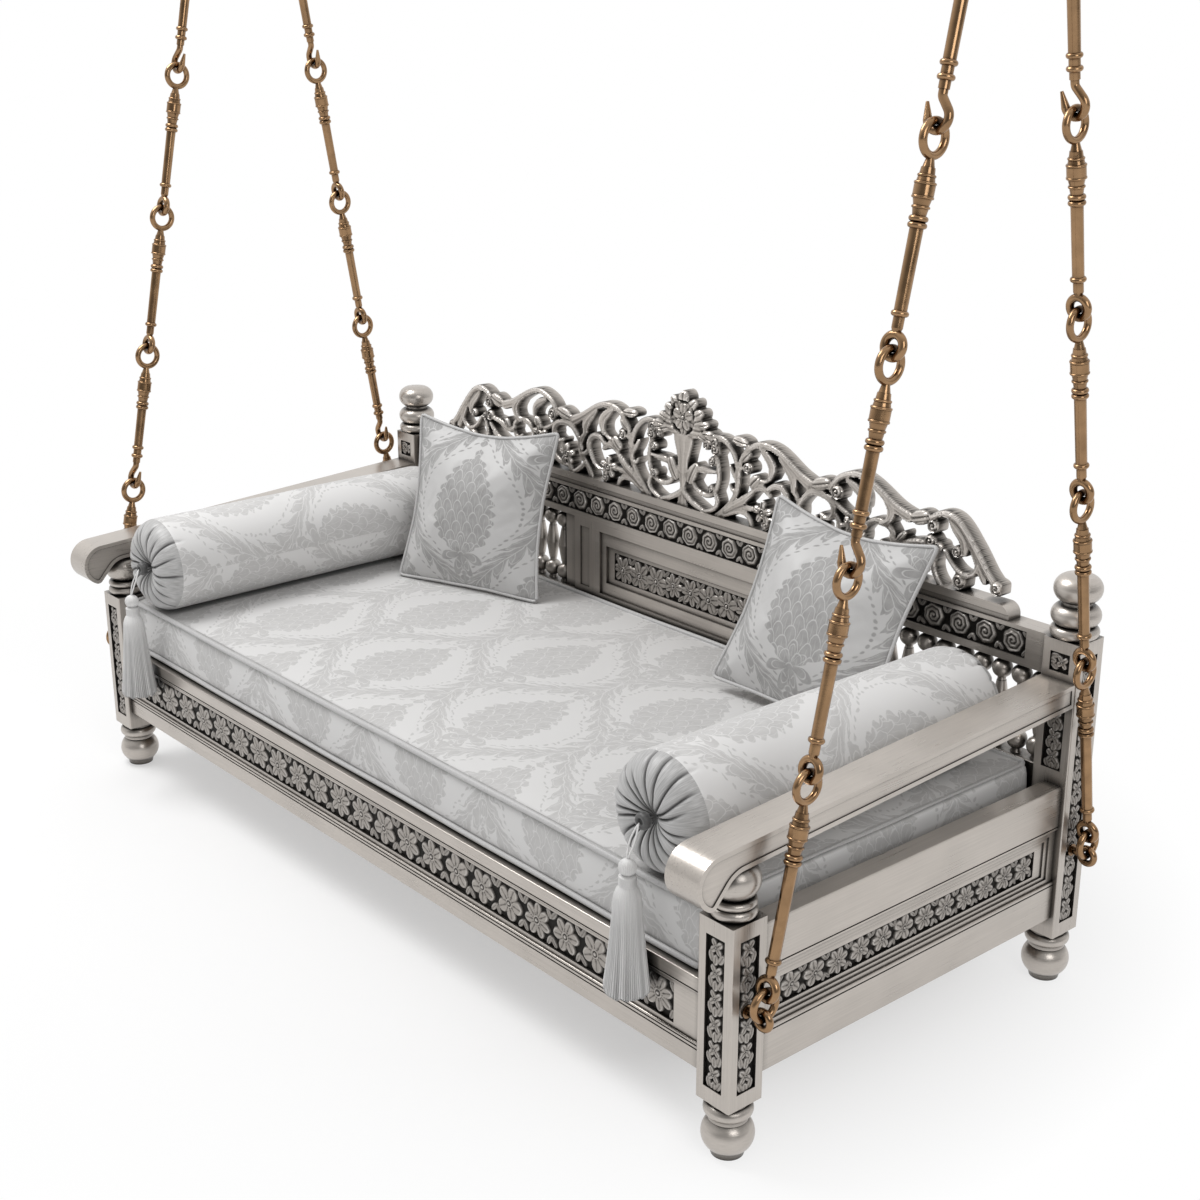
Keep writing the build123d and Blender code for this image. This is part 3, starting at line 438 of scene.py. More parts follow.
@dataclass(frozen=True)
class Silk:
    """Plain satin or silk thread, with fine lines that run along the piece's own coordinates."""

    name: str
    light: float = 0.62
    # Grey towards which the painted shade goes.
    dark: float = 0.36
    lines: tuple[float, float] = (900.0, 20.0)
    gloss: float = 0.42

    def material(self) -> bpy.types.Material:
        """Builds the finish: fine threads, with painted shade in the creases and gaps that the mesh marks and in
        crevices.

        Returns:
            The material.
        """
        tree = new_finish(self.name)
        thread = tree.noise(tree.stretched(tree.cloth_place(), (*self.lines, 1.0)), 1.0, 2.0)
        # Painted shade: creases and gaps marked on the mesh, and ambient occlusion, darken the thread.
        crease_shade = tree.attribute("patina_and_shade")
        tone = ((thread - 0.5) * 0.9 + 0.74) * (1.0 - crease_shade * 0.95) * (tree.occlusion_shade(0.008) * 0.7 + 0.3)
        colour = tree.mix(tone.math("MAXIMUM", 0.0), grey(self.dark * 0.6, 0.01), grey(self.light, 0.01))
        return tree.surface(colour, self.gloss, tree.bump(thread, 0.0004, 0.4), Sheen_Weight=0.2)


# ------------------------------------------------------------------ meshes
@dataclass(frozen=True)
class Datum:
    """Where the bench stands in the row frame: its middle, half way between the posts, at floor level."""

    middle_y: float
    floor: float

    @classmethod
    def from_frame(cls) -> "Datum":
        """Reads the datum off the feet and the posts.

        Returns:
            The datum.
        """
        low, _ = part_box("front_post_left")
        _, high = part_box("rear_post_left")
        return cls((low[1] + high[1]) / 2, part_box("front_foot_left")[0][2])

    def place(self, points: np.ndarray) -> np.ndarray:
        """Bench metres to row metres: adds the middle and the floor."""
        return points + np.array([0.0, self.middle_y, self.floor])


def put(name: str, data: bpy.types.ID) -> bpy.types.Object:
    """A new object of the scene with that data.

    Args:
        name: its name.
        data: a mesh, lamp or camera.
    Returns:
        The object.
    """
    item = bpy.data.objects.new(name, data)
    bpy.context.scene.collection.objects.link(item)
    return item


def make_piece(name: str, points: np.ndarray, faces: Sequence[np.ndarray], body: str,
               finish: bpy.types.Material, uv: Sequence[np.ndarray] | None = None,
               paint: np.ndarray | None = None, wear_and_painted_light: np.ndarray | None = None,
               sharp: float = 180.0, weld: float = 0.0) -> bpy.types.Object:
    """Puts arrays into a mesh and makes a piece of it that rides on a body.

    Args:
        name: the piece's name.
        points: (n, 3) vertices in the row frame.
        faces: arrays of vertex numbers, one row for each face, all rows of an array equally long.
        body: CAD body that it rides on.
        finish: its material.
        uv: for each array of faces, the same shape with two numbers for each corner.
        paint: darkening for each vertex, from 0 to 1: antique darkening and painted shade on carving, painted shade
            in creases and gaps of cloth.
        wear_and_painted_light: lightening for each vertex, from 0 to 1: polish from wear and a painted highlight on
            ridges.
        sharp: faces that meet at a greater angle keep their edge.
        weld: vertices nearer together than this become one.
    Returns:
        The object.
    """
    mesh = bpy.data.meshes.new(name)
    mesh.vertices.add(len(points))
    mesh.vertices.foreach_set("co", np.ascontiguousarray(points, dtype=np.float32).ravel())
    corners = np.concatenate([f.ravel() for f in faces]).astype(np.int32)
    sizes = np.concatenate([np.full(len(f), f.shape[1]) for f in faces])
    starts = np.concatenate([[0], np.cumsum(sizes)[:-1]]).astype(np.int32)
    mesh.loops.add(len(corners))
    mesh.loops.foreach_set("vertex_index", corners)
    mesh.polygons.add(len(sizes))
    mesh.polygons.foreach_set("loop_start", starts)
    mesh.update(calc_edges=True)
    if uv is not None:
        layer = mesh.uv_layers.new(name="cloth")
        layer.data.foreach_set("uv", np.concatenate([u.reshape(-1, 2) for u in uv]).astype(np.float32).ravel())
    # The first attribute darkens as antique darkening and painted shade, the second lightens as polish and a painted
    # highlight.
    for label, values in (("patina_and_shade", paint), ("wear_and_painted_light", wear_and_painted_light)):
        if values is not None:
            layer = mesh.attributes.new(label, "FLOAT", "POINT")
            layer.data.foreach_set("value", np.ascontiguousarray(values, dtype=np.float32).ravel())
    mesh.validate()
    if weld > 0:
        shell = bmesh.new()
        shell.from_mesh(mesh)
        bmesh.ops.remove_doubles(shell, verts=shell.verts, dist=weld)
        bmesh.ops.dissolve_degenerate(shell, edges=shell.edges, dist=weld)
        shell.to_mesh(mesh)
        shell.free()
    mesh.polygons.foreach_set("use_smooth", np.ones(len(mesh.polygons), dtype=bool))
    if sharp < 180:
        mesh.set_sharp_from_angle(angle=math.radians(sharp))
    mesh.materials.append(finish)
    piece = put(name, mesh)
    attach(piece, body)
    return piece


def bell(value: np.ndarray, at: float, width: float) -> np.ndarray:
    """A bell curve of height 1 round a place: e to the minus squared distance in widths."""
    return np.exp(-(((value - at) / width) ** 2))


def dome(reach: np.ndarray) -> np.ndarray:
    """Height of a half ball at a share of its radius, and 0 beyond it."""
    return np.sqrt(np.maximum(1 - reach**2, 0))


def oval(u: np.ndarray, v: np.ndarray, length: float, width: float, turn: float) -> tuple[np.ndarray, np.ndarray]:
    """Coordinates along and across an oval, each 1 at its rim.

    Args:
        u: first coordinate from the oval's middle.
        v: second coordinate from it.
        length: long axis.
        width: short axis.
        turn: angle of the long axis in degrees.
    Returns:
        The turned coordinates over half the axes.
    """
    c, s = math.cos(math.radians(turn)), math.sin(math.radians(turn))
    return (u * c + v * s) / (length / 2), (v * c - u * s) / (width / 2)


def circle(count: int) -> np.ndarray:
    """Even angles round a circle, from 0."""
    return np.linspace(0, 2 * np.pi, count, endpoint=False)


def walked(path: np.ndarray) -> np.ndarray:
    """Distance from the first point of a path to each of its points."""
    return np.concatenate([[0], np.cumsum(np.linalg.norm(np.diff(path, axis=0), axis=1))])


def node_box(node: str) -> tuple[np.ndarray, np.ndarray, np.ndarray]:
    """Lowest corner, highest corner and middle of a CAD node."""
    low, high = (np.array(corner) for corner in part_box(node))
    return low, high, (low + high) / 2


def grid_faces(rows: int, columns: int, wrap: bool) -> tuple[np.ndarray, np.ndarray]:
    """Quads of a grid of points numbered row by row.

    Args:
        rows: number of rows.
        columns: number of columns.
        wrap: whether the last column joins the first.
    Returns:
        Vertex numbers of the quads, and the (row, column) of each corner with the last column not wrapped.
    """
    across = columns if wrap else columns - 1
    r, c = np.meshgrid(np.arange(rows - 1), np.arange(across), indexing="ij")
    corners_r = np.stack([r, r, r + 1, r + 1], -1).reshape(-1, 4)
    corners_c = np.stack([c, c + 1, c + 1, c], -1).reshape(-1, 4)
    numbers = corners_r * columns + corners_c % columns
    return numbers, np.stack([corners_r, corners_c], -1)


def round_surface(rings: np.ndarray, flip: bool = False) -> tuple[np.ndarray, list[np.ndarray], list[np.ndarray]]:
    """Closes a stack of rings into a solid surface with a point at each end.

    Args:
        rings: (rows, columns, 3) points, each row a closed ring.
        flip: turns the faces over.
    Returns:
        Points, face arrays (quads and two fans), and for each the (row, column) of its corners.
    """
    rows, columns = rings.shape[:2]
    quads, places = grid_faces(rows, columns, True)
    points = np.concatenate([rings.reshape(-1, 3), rings[0].mean(0)[None], rings[-1].mean(0)[None]])
    c = np.arange(columns)
    start = np.stack([np.full(columns, rows * columns), (c + 1) % columns, c], -1)
    last = (rows - 1) * columns
    end = np.stack([np.full(columns, rows * columns + 1), last + c, last + (c + 1) % columns], -1)
    zero, top = np.zeros(columns), np.full(columns, rows - 1)
    start_at = np.stack([np.stack([zero, c + 0.5], -1), np.stack([zero, c + 1], -1), np.stack([zero, c], -1)], 1)
    end_at = np.stack([np.stack([top, c + 0.5], -1), np.stack([top, c], -1), np.stack([top, c + 1], -1)], 1)
    faces, at = [quads, start, end], [places.astype(float), start_at, end_at]
    if flip:
        faces = [f[:, ::-1] for f in faces]
        at = [a[:, ::-1] for a in at]
    return points, faces, at


def make_cord(name: str, path: np.ndarray, radius: float, body: str,
              finish: bpy.types.Material) -> bpy.types.Object:
    """Carries a circle round a loop: centre plus radius times (cosine of one normal, sine of the other).

    Args:
        name: the piece's name.
        path: (n, 3) points of the loop.
        radius: the cord's radius.
        body: CAD body that it rides on.
        finish: its material.
    Returns:
        The piece.
    """
    sides = 10
    along = np.roll(path, -1, 0) - np.roll(path, 1, 0)
    along /= np.linalg.norm(along, axis=1, keepdims=True) + 1e-12
    aside = np.cross(along, np.array([0.31, 0.17, 0.94]))
    aside /= np.linalg.norm(aside, axis=1, keepdims=True) + 1e-12
    up = np.cross(aside, along)
    turn = circle(sides)[:, None]
    points = path[:, None] + radius * (aside[:, None] * np.cos(turn) + up[:, None] * np.sin(turn))
    quads, at = grid_faces(len(path) + 1, sides, True)
    steps = np.append(walked(path), 0)
    uv = np.stack([at[..., 1] / sides * 2 * np.pi * radius, steps[at[..., 0]]], -1)
    return make_piece(name, points.reshape(-1, 3), [quads % (len(path) * sides)], body, finish, uv=[uv])


def wavy(u: np.ndarray, v: np.ndarray, seed: int, terms: int = 7, coarse: float = 4.0) -> np.ndarray:
    """Smooth seeded unevenness: a sum of sines of u and v whose size falls as they get finer.

    Args:
        u: first coordinate.
        v: second coordinate.
        seed: random seed.
        terms: number of sines.
        coarse: lowest wave number, for each unit of u and v.
    Returns:
        Values of about -1 to 1.
    """
    rng = np.random.default_rng(seed)
    total = np.zeros(np.broadcast(u, v).shape)
    for k in range(terms):
        size = coarse * (1 + 0.7 * k)
        turn, phase = rng.uniform(0, 2 * np.pi, 2)
        total += np.sin(size * (u * np.cos(turn) + v * np.sin(turn)) + phase) / (1 + 0.6 * k)
    return total / 2.2


def blurred(field: np.ndarray, reach: int) -> np.ndarray:
    """Mean over a square window, taken twice: differences of running sums along each axis in turn.

    Args:
        field: two-dimensional values.
        reach: half the window in grid steps.
    Returns:
        The smoothed values.
    """
    for axis in (0, 1, 0, 1):
        edges = [(reach + 1, reach) if a == axis else (0, 0) for a in (0, 1)]
        sums = np.cumsum(np.pad(field, edges, mode="edge"), axis)
        size = field.shape[axis]
        last = np.take(sums, np.arange(size) + 2 * reach + 1, axis)
        field = (last - np.take(sums, np.arange(size), axis)) / (2 * reach + 1)
    return field


# ------------------------------------------------------------------ carving
class Motif(Enum):
    """What a sunk field is carved with."""

    FLOWERS = "five and six petalled flowers with leaves between them"
    ROSES = "round coiled roses with small leaves"
    GARLAND = "a climbing string of buds, leaves and small flowers"
    BOUQUET = "a crowded row of flowers of changing size"


class Carver:
    """A height field that shapes are cut into: each shape keeps the higher of itself and what is there."""

    def __init__(self, width: float, height: float, step: float) -> None:
        """Lays out a grid of that width and height in millimetres, with points a step apart.

        Args:
            width: size along the field in millimetres.
            height: size across it.
            step: distance between grid points.
        """
        self.columns = max(int(width / step), 4) + 1
        self.rows = max(int(height / step), 4) + 1
        self.u, self.v = np.meshgrid(np.linspace(0, width, self.columns), np.linspace(0, height, self.rows))
        self.height = np.zeros_like(self.u)

    def window(self, x: float, y: float, reach: float) -> tuple[slice, slice]:
        """The grid rows and columns within reach of a place.

        Args:
            x: place along the field.
            y: place across it.
            reach: half the window's size.
        Returns:
            Row and column slices.
        """
        columns = np.searchsorted(self.u[0], [x - reach, x + reach])
        rows = np.searchsorted(self.v[:, 0], [y - reach, y + reach])
        return slice(*rows), slice(*columns)

    def petal(self, x: float, y: float, length: float, width: float, turn: float, peak: float) -> None:
        """A full oval: peak times (0.22 + 0.66 dome + 0.14 rim), less a groove on its long axis.

        Args:
            x: centre along the field.
            y: centre across it.
            length: length of the oval.
            width: width of the oval.
            turn: angle of its long axis in degrees.
            peak: height of its top.
        """
        at = self.window(x, y, length / 2)
        along, across = oval(self.u[at] - x, self.v[at] - y, length, width, turn)
        reach = np.hypot(along, across)
        vein = 1 - 0.26 * bell(across, 0, 0.14) * (np.abs(along) < 0.7)
        rise = peak * (0.22 + 0.66 * dome(reach) ** 0.8 + 0.14 * bell(reach, 0.74, 0.15)) * vein
        self.height[at] = np.maximum(self.height[at], np.where(reach < 1, rise, 0))

    def boss(self, x: float, y: float, radius: float, peak: float) -> None:
        """A round button of that radius and peak: a dome with a ring groove at half of its radius.

        Args:
            x: centre along the field.
            y: centre across it.
            radius: radius.
            peak: height of its top.
        """
        at = self.window(x, y, radius)
        reach = np.hypot(self.u[at] - x, self.v[at] - y) / radius
        rise = peak * (0.62 + 0.38 * dome(reach)) * (1 - 0.45 * bell(reach, 0.50, 0.15))
        self.height[at] = np.where(reach < 1, np.maximum(rise, 0), self.height[at])

    def flower(self, x: float, y: float, radius: float, petals: int, phase: float) -> None:
        """Two rings of petals round a boss.

        Args:
            x: centre along the field.
            y: centre across it.
            radius: outer radius.
            petals: number of petals.
            phase: angle of the first in degrees.
        """
        wide = 2.15 * math.sin(math.pi / petals) * 0.66 * radius
        rings = ((0.62, 0.80, 0.94, 0.0, 0.84), (0.36, 0.40, 0.50, 0.5, 0.88))
        for away, size, share, half_turn, level in rings:
            for k in range(petals):
                turn = phase + 360 * (k + half_turn) / petals
                cx = x + away * radius * math.cos(math.radians(turn))
                cy = y + away * radius * math.sin(math.radians(turn))
                self.petal(cx, cy, size * radius, wide * share, turn, level - 0.07 * (k % 2))
        self.boss(x, y, 0.27 * radius, 1.08)

    def rose(self, x: float, y: float, radius: float, phase: float) -> None:
        """A coiled rose: its height waves with the cosine of 2 pi (2.6 r - turn), inside a scalloped rim.

        Args:
            x: centre along the field.
            y: centre across it.
            radius: outer radius.
            phase: start of the coil in turns.
        """
        at = self.window(x, y, radius * 1.05)
        u, v = self.u[at] - x, self.v[at] - y
        turn = np.arctan2(v, u) / (2 * np.pi)
        r = np.hypot(u, v) / (radius * (1 + 0.04 * np.cos(14 * np.pi * turn)))
        coil = np.cos(2 * np.pi * (2.6 * r - turn - phase))
        rise = (0.62 + 0.20 * coil + 0.24 * (1 - r)) * np.clip((1 - r) / 0.10, 0, 1) ** 0.5
        self.height[at] = np.maximum(self.height[at], np.where(r < 1, rise, 0))


@dataclass
class CarvedField:
    """Low relief in one sunk field of the frame."""

    name: str
    corner: tuple[float, float, float]
    along: tuple[float, float, float]
    width: float
    height: float
    depth: float
    motif: Motif
    seed: int = 1
    step: float = 1.5

    def cut(self, carver: Carver) -> None:
        """Fills the grid with the field's motif: leaves between the pitches, a flower or rose on each.

        Args:
            carver: the grid to cut.
        """
        rng = np.random.default_rng(self.seed)
        w, h = self.width, self.height
        if self.motif is Motif.GARLAND:
            self.garland(carver, rng)
            return
        pitch = {Motif.FLOWERS: 1.06, Motif.ROSES: 1.20, Motif.BOUQUET: 0.90}[self.motif] * h
        count = max(round(w / pitch), 1)
        pitch = w / count
        for k in range(count + 1):
            for sign in (-1, 1):
                tilt = rng.uniform(-14, 14)
                for side, peak in ((-1, 0.66), (1, 0.60)):
                    carver.petal(k * pitch + side * 0.09 * h, h * (0.5 + sign * 0.36), 0.34 * h, 0.17 * h,
                                 90 - side * sign * 34 + tilt, peak)
        for k in range(count):
            x = (k + 0.5) * pitch
            if self.motif is Motif.ROSES:
                carver.rose(x, h / 2, 0.45 * h, rng.uniform())
                continue
            least, most, stray = (0.44, 0.54, 0.07) if self.motif is Motif.BOUQUET else (0.47, 0.50, 0.03)
            scale, lift = rng.uniform(least, most), rng.uniform(-stray, stray)
            carver.flower(x, h * (0.5 + lift), scale * h, int(rng.integers(5, 8)), rng.uniform(0, 72))

    def garland(self, carver: Carver, rng: np.random.Generator) -> None:
        """Cuts a string that climbs the field's longer side: pairs of leaves, buds and small flowers by turns.

        Args:
            carver: the grid to cut.
            rng: seeded generator.
        """
        tall = self.height > self.width
        wide, length = sorted((self.width, self.height))
        count = max(round(length / (1.12 * wide)), 1)
        pitch = length / count

        def petal(s: float, t: float, long: float, broad: float, turn: float, peak: float) -> None:
            """A petal at a place along and across the string, with its angle from the string's line."""
            place = (wide / 2 + t, s) if tall else (s, wide / 2 + t)
            carver.petal(*place, long, broad, 90 - turn if tall else turn, peak)

        for k in range(count):
            s = (k + 0.5) * pitch
            lean = rng.uniform(-10, 10)
            for sign in (-1, 1):
                petal(s - 0.30 * pitch, sign * 0.27 * wide, 0.50 * pitch, 0.32 * wide, sign * 22 + lean, 0.72)
            petal(s - 0.40 * pitch, 0.03 * wide * math.sin(k), 0.46 * pitch, 0.34 * wide, lean, 0.88)
            for turn in (42, 138, 222, 318):
                a = math.radians(turn + lean)
                petal(s + 0.20 * wide * math.cos(a) + 0.10 * pitch, 0.22 * wide * math.sin(a), 0.38 * wide,
                      0.30 * wide, turn + lean, 0.80)
            x, y = (wide / 2, s + 0.10 * pitch) if tall else (s + 0.10 * pitch, wide / 2)
            carver.boss(x, y, 0.105 * wide, 1.0)

    def build(self, datum: Datum, finish: bpy.types.Material) -> bpy.types.Object:
        """Makes the relief: corner plus u along plus v up plus the carved height outwards.

        Args:
            datum: where the bench stands.
            finish: its material.
        Returns:
            The piece.
        """
        carver = Carver(self.width, self.height, self.step)
        self.cut(carver)
        along, up = np.array(self.along), np.array([0, 0, 1])
        out = np.cross(along, up)
        ground = carver.height <= 0
        grain = 0.05 * wavy(carver.u / 6, carver.v / 6, self.seed, 6, 1.0)
        rise = np.where(ground, 0.02, carver.height + grain * carver.height)
        rise[[0, -1], :] = 0
        rise[:, [0, -1]] = 0
        points = (np.array(self.corner) + carver.u[..., None] * along + carver.v[..., None] * up
                  + (rise[..., None] * self.depth + 0.15) * out) * MM
        quads, _ = grid_faces(carver.rows, carver.columns, False)
        # Antique darkening and painted shade on the low ground and in hollows; polish and a painted highlight on
        # ridges.
        proud = carver.height - blurred(carver.height, max(round(2.6 / self.step), 1))
        paint = np.clip(np.maximum(1.30 - 2.2 * carver.height, -5.5 * proud), 0, 1)
        return make_piece(self.name, datum.place(points.reshape(-1, 3)), [quads], "bench", finish,
                          paint=paint, wear_and_painted_light=np.clip(4.2 * proud - 0.35, 0, 1))


# ------------------------------------------------------------------ crest
@dataclass(frozen=True)
class Band:
    """A tapering scroll: a smooth line through points, with a width at each of several even stations."""

    points: tuple[tuple[float, float], ...]
    widths: tuple[float, ...]

    def sampled(self, count: int) -> tuple[np.ndarray, np.ndarray]:
        """Points and half widths along the band, on a natural cubic spline over chord length.

        Args:
            count: number of samples.
        Returns:
            (count, 2) points and (count,) half widths.
        """
        knots = np.array(self.points, dtype=float)
        n = len(knots)
        t = walked(knots)
        step = np.diff(t)
        system = np.eye(n)
        right = np.zeros((n, 2))
        i = np.arange(1, n - 1)
        system[i, i - 1] = step[:-1]
        system[i, i] = 2 * (step[:-1] + step[1:])
        system[i, i + 1] = step[1:]
        slope = np.diff(knots, axis=0) / step[:, None]
        right[1:-1] = 6 * (slope[1:] - slope[:-1])
        curve = np.linalg.solve(system, right)
        s = np.linspace(0, t[-1], count)
        k = np.clip(np.searchsorted(t, s, side="right") - 1, 0, n - 2)
        a, b = (t[k + 1] - s)[:, None], (s - t[k])[:, None]
        h = step[k][:, None]
        points = (curve[k] * a**3 + curve[k + 1] * b**3) / (6 * h) + (
            knots[k] / h - curve[k] * h / 6) * a + (knots[k + 1] / h - curve[k + 1] * h / 6) * b
        half = np.interp(np.linspace(0, 1, count), np.linspace(0, 1, len(self.widths)), self.widths) / 2
        return points, half


@dataclass(frozen=True)
class Leaf:
    """An oval leaf, petal or boss: centre, length, width and angle in degrees."""

    x: float
    z: float
    length: float
    width: float
    turn: float = 0.0


def floret(x: float, z: float, radius: float, petals: int = 5) -> tuple[Leaf, ...]:
    """An open flower round a centre: petals at 0.62 of the radius, then the boss.

    Args:
        x: centre.
        z: centre.
        radius: outer radius.
        petals: number of petals.
    Returns:
        The petals, then the boss.
    """
    away = 0.62 * radius
    turns = [90 + 360 * k / petals for k in range(petals)]
    ring = [Leaf(x + away * math.cos(math.radians(a)), z + away * math.sin(math.radians(a)), 0.85 * radius, away, a)
            for a in turns]
    return (*ring, Leaf(x, z, radius, radius))


@dataclass
class Crest:
    """Pierced scrollwork over the back, carved from one board and the same on both sides of the middle."""

    reach: float = 748.0
    rise: float = 221.0
    drawn_reach: float = 741.0
    drawn_rise: float = 226.0
    step: float = 1.85
    carve_depth: float = 10.0
    bands: tuple[Band, ...] = (
        Band(((77, 150), (97, 151), (117, 143), (132, 128), (142, 105), (145, 78), (141, 55), (128, 32),
              (110, 12), (92, -6)), (10, 12, 12, 12, 12, 13, 14, 14, 16, 20)),
        Band(((147, 88), (152, 117), (162, 136), (178, 150), (200, 158), (222, 158), (243, 152), (266, 139),
              (290, 123), (319, 108)), (12, 12, 12, 12, 13, 13, 13, 15, 18, 23)),
        Band(((369, 112), (385, 135), (405, 146), (428, 151), (451, 146), (474, 135), (495, 122), (516, 110),
              (542, 101)), (12, 12, 12, 12, 13, 14, 16, 18, 20)),
        Band(((590, 110), (605, 120), (624, 124), (642, 119), (659, 105), (675, 86), (691, 66), (707, 45),
              (727, 24)), (11, 12, 12, 12, 13, 14, 14, 13, 14)),
        Band(((629, 116), (645, 99), (659, 84), (660, 66)), (12, 20, 24, 14)),
        Band(((670, 86), (684, 66), (694, 45), (703, 28)), (14, 19, 18, 14)),
        Band(((690, 52), (682, 36), (664, 28), (644, 36), (622, 60)), (9, 11, 11, 10, 9)),
        Band(((612, 62), (600, 40), (604, 16), (622, -4)), (9, 12, 11, 9)),
        Band(((84, 122), (91, 102), (95, 82), (93, 62), (84, 44), (68, 34), (50, 34), (36, 40), (25, 54)),
             (10, 11, 11, 11, 11, 11, 11, 10, 9)),
        Band(((4, 64), (34, 78), (62, 82), (88, 84)), (8, 12, 15, 8)),
        Band(((50, -6), (66, 1), (82, 9), (93, 22), (88, 40)), (10, 11, 11, 11, 9)),
        Band(((0, 30), (22, 14), (44, 4), (66, -4)), (12, 13, 13, 12)),
        Band(((124, 104), (132, 92), (142, 76)), (7, 11, 9)),
        Band(((125, 68), (134, 58), (142, 60)), (6, 9, 8)),
        Band(((150, 104), (160, 107), (170, 109)), (9, 8, 8)),
        Band(((114, 14), (139, 32), (161, 46), (184, 66)), (9, 13, 18, 10)),
        Band(((122, 14), (152, 28), (174, 33), (198, 32)), (9, 11, 12, 10)),
        Band(((112, 4), (139, 18), (158, 22), (175, 15), (184, -6)), (10, 12, 12, 12, 12)),
        Band(((219, 12), (219, 2), (219, -6)), (10, 12, 14)),
        Band(((201, 152), (217, 140), (230, 124), (226, 100)), (10, 20, 20, 11)),
        Band(((226, 102), (214, 92), (199, 90)), (11, 9, 8)),
        Band(((250, 142), (267, 126), (281, 108), (283, 88)), (12, 18, 20, 12)),
        Band(((184, 68), (207, 79), (226, 68)), (10, 15, 10)),
        Band(((222, 78), (242, 90), (259, 86), (270, 70), (262, 44), (247, 27), (228, 24)),
             (11, 14, 14, 13, 11, 9, 8)),
        Band(((280, 92), (296, 70), (296, 44), (278, 22), (262, -6)), (11, 13, 14, 14, 14)),
        Band(((268, 66), (280, 48), (296, 42)), (9, 11, 10)),
        Band(((282, 26), (304, 8), (324, -6)), (10, 12, 12)),
        Band(((292, 54), (308, 82), (326, 97), (350, 99), (372, 90), (379, 72), (366, 58), (350, 62)),
             (8, 11, 13, 14, 14, 13, 11, 9)),
        Band(((352, 100), (372, 96), (390, 84), (412, 74)), (10, 11, 11, 10)),
        Band(((374, 74), (392, 52), (384, 28), (362, 14), (336, 10)), (9, 13, 14, 13, 10)),
        Band(((356, 60), (348, 48), (342, 36)), (8, 8, 8)),
        Band(((330, 12), (322, -6)), (12, 14)),
        Band(((384, 28), (396, 8), (414, -6)), (11, 13, 13)),
        Band(((408, 136), (425, 127), (440, 114), (443, 96)), (12, 19, 17, 10)),
        Band(((392, 50), (408, 56), (424, 60)), (9, 9, 9)),
        Band(((495, 118), (506, 104), (501, 86), (486, 76)), (14, 20, 15, 10)),
        Band(((444, 52), (462, 74), (486, 79), (506, 70), (512, 52), (500, 38), (486, 44)),
             (9, 12, 13, 13, 12, 10, 9)),
        Band(((408, 2), (440, 22), (470, 22), (494, 8), (504, -6)), (11, 13, 13, 12, 12)),
        Band(((508, 58), (522, 50), (540, 54), (562, 62), (584, 66)), (10, 14, 14, 12, 9)),
        Band(((498, 36), (520, 22), (548, 20), (572, 32), (590, 52)), (10, 13, 14, 13, 9)),
        Band(((548, 20), (540, 4), (528, -6)), (10, 12, 12)),
    )
    leaves: tuple[Leaf, ...] = (
        Leaf(85, 140, 24, 24), Leaf(87, 127, 25, 25), Leaf(64, 132, 20, 20), Leaf(149, 155, 42, 20, -5),
        Leaf(347, 117, 48, 25, 15), Leaf(567, 106, 44, 26, 18), Leaf(728, 21, 26, 26), Leaf(595, 98, 26, 26),
        Leaf(591, 70, 26, 26), Leaf(609, 65, 18, 18), Leaf(647, 65, 22, 22), Leaf(654, 15, 30, 30),
        Leaf(79, 103, 20, 20), Leaf(77, 49, 18, 18), Leaf(166, 129, 30, 15, 45), Leaf(170, 109, 24, 24),
        Leaf(187, 86, 34, 24, 45), Leaf(219, 10, 22, 22), Leaf(384, 110, 28, 28), Leaf(432, 84, 26, 20, 70),
        Leaf(444, 38, 30, 13, 70), Leaf(530, 63, 30, 14, 50),
    ) + floret(211, 32, 24) + floret(338, 34, 23) + floret(424, 60, 22) + floret(556, 6, 20)
    stem: tuple[Band, ...] = (
        Band(((0, -6), (0, 14), (0, 32), (0, 50), (0, 72), (0, 100), (0, 134)), (34, 20, 15, 29, 28, 40, 54)),
    )
    bloom: tuple[Leaf, ...] = (
        Leaf(0, 174, 56, 56), Leaf(0, 210, 32, 28, 90), Leaf(24, 201, 27, 21, 45), Leaf(39, 184, 29, 22, 30),
        Leaf(54, 167, 28, 18, 15), Leaf(64, 152, 30, 17, 5), Leaf(50, 144, 28, 18, -20),
        Leaf(28, 154, 48, 34, 0), Leaf(34, 170, 36, 26, 20), Leaf(70, 143, 26, 18, -10),
        Leaf(26, 68, 50, 25, 62),
    )

    def field(self) -> tuple[np.ndarray, np.ndarray, np.ndarray, np.ndarray]:
        """Distance to the outline (negative inside) and carved height of the right half.

        A band's height is its level times a flat dome less a flute on each side; a leaf's is its dome less a
        vein; a round one is ringed.

        Returns:
            x, z, distance and height grids in millimetres, the height from 0 to 1.
        """
        wide = self.step * round((self.reach + 6) / self.step)
        tall = self.step * round((self.rise + 6) / self.step)
        x, z = np.meshgrid(np.arange(0, wide, self.step), np.arange(0, tall, self.step))
        distance = np.full(x.shape, 50.0)
        height = np.zeros(x.shape)
        shrink = np.array([self.reach / self.drawn_reach, self.rise / self.drawn_rise])

        def near(cx: float, cz: float, reach: float) -> tuple[slice, slice]:
            """Rows and columns within reach of a place.

            Args:
                cx: place across.
                cz: place up.
                reach: half the window.
            Returns:
                Row and column slices.
            """
            c = np.clip(np.array([cx - reach, cx + reach]) / self.step, 0, x.shape[1]).astype(int)
            r = np.clip(np.array([cz - reach, cz + reach]) / self.step, 0, x.shape[0]).astype(int)
            return slice(*r), slice(*c)

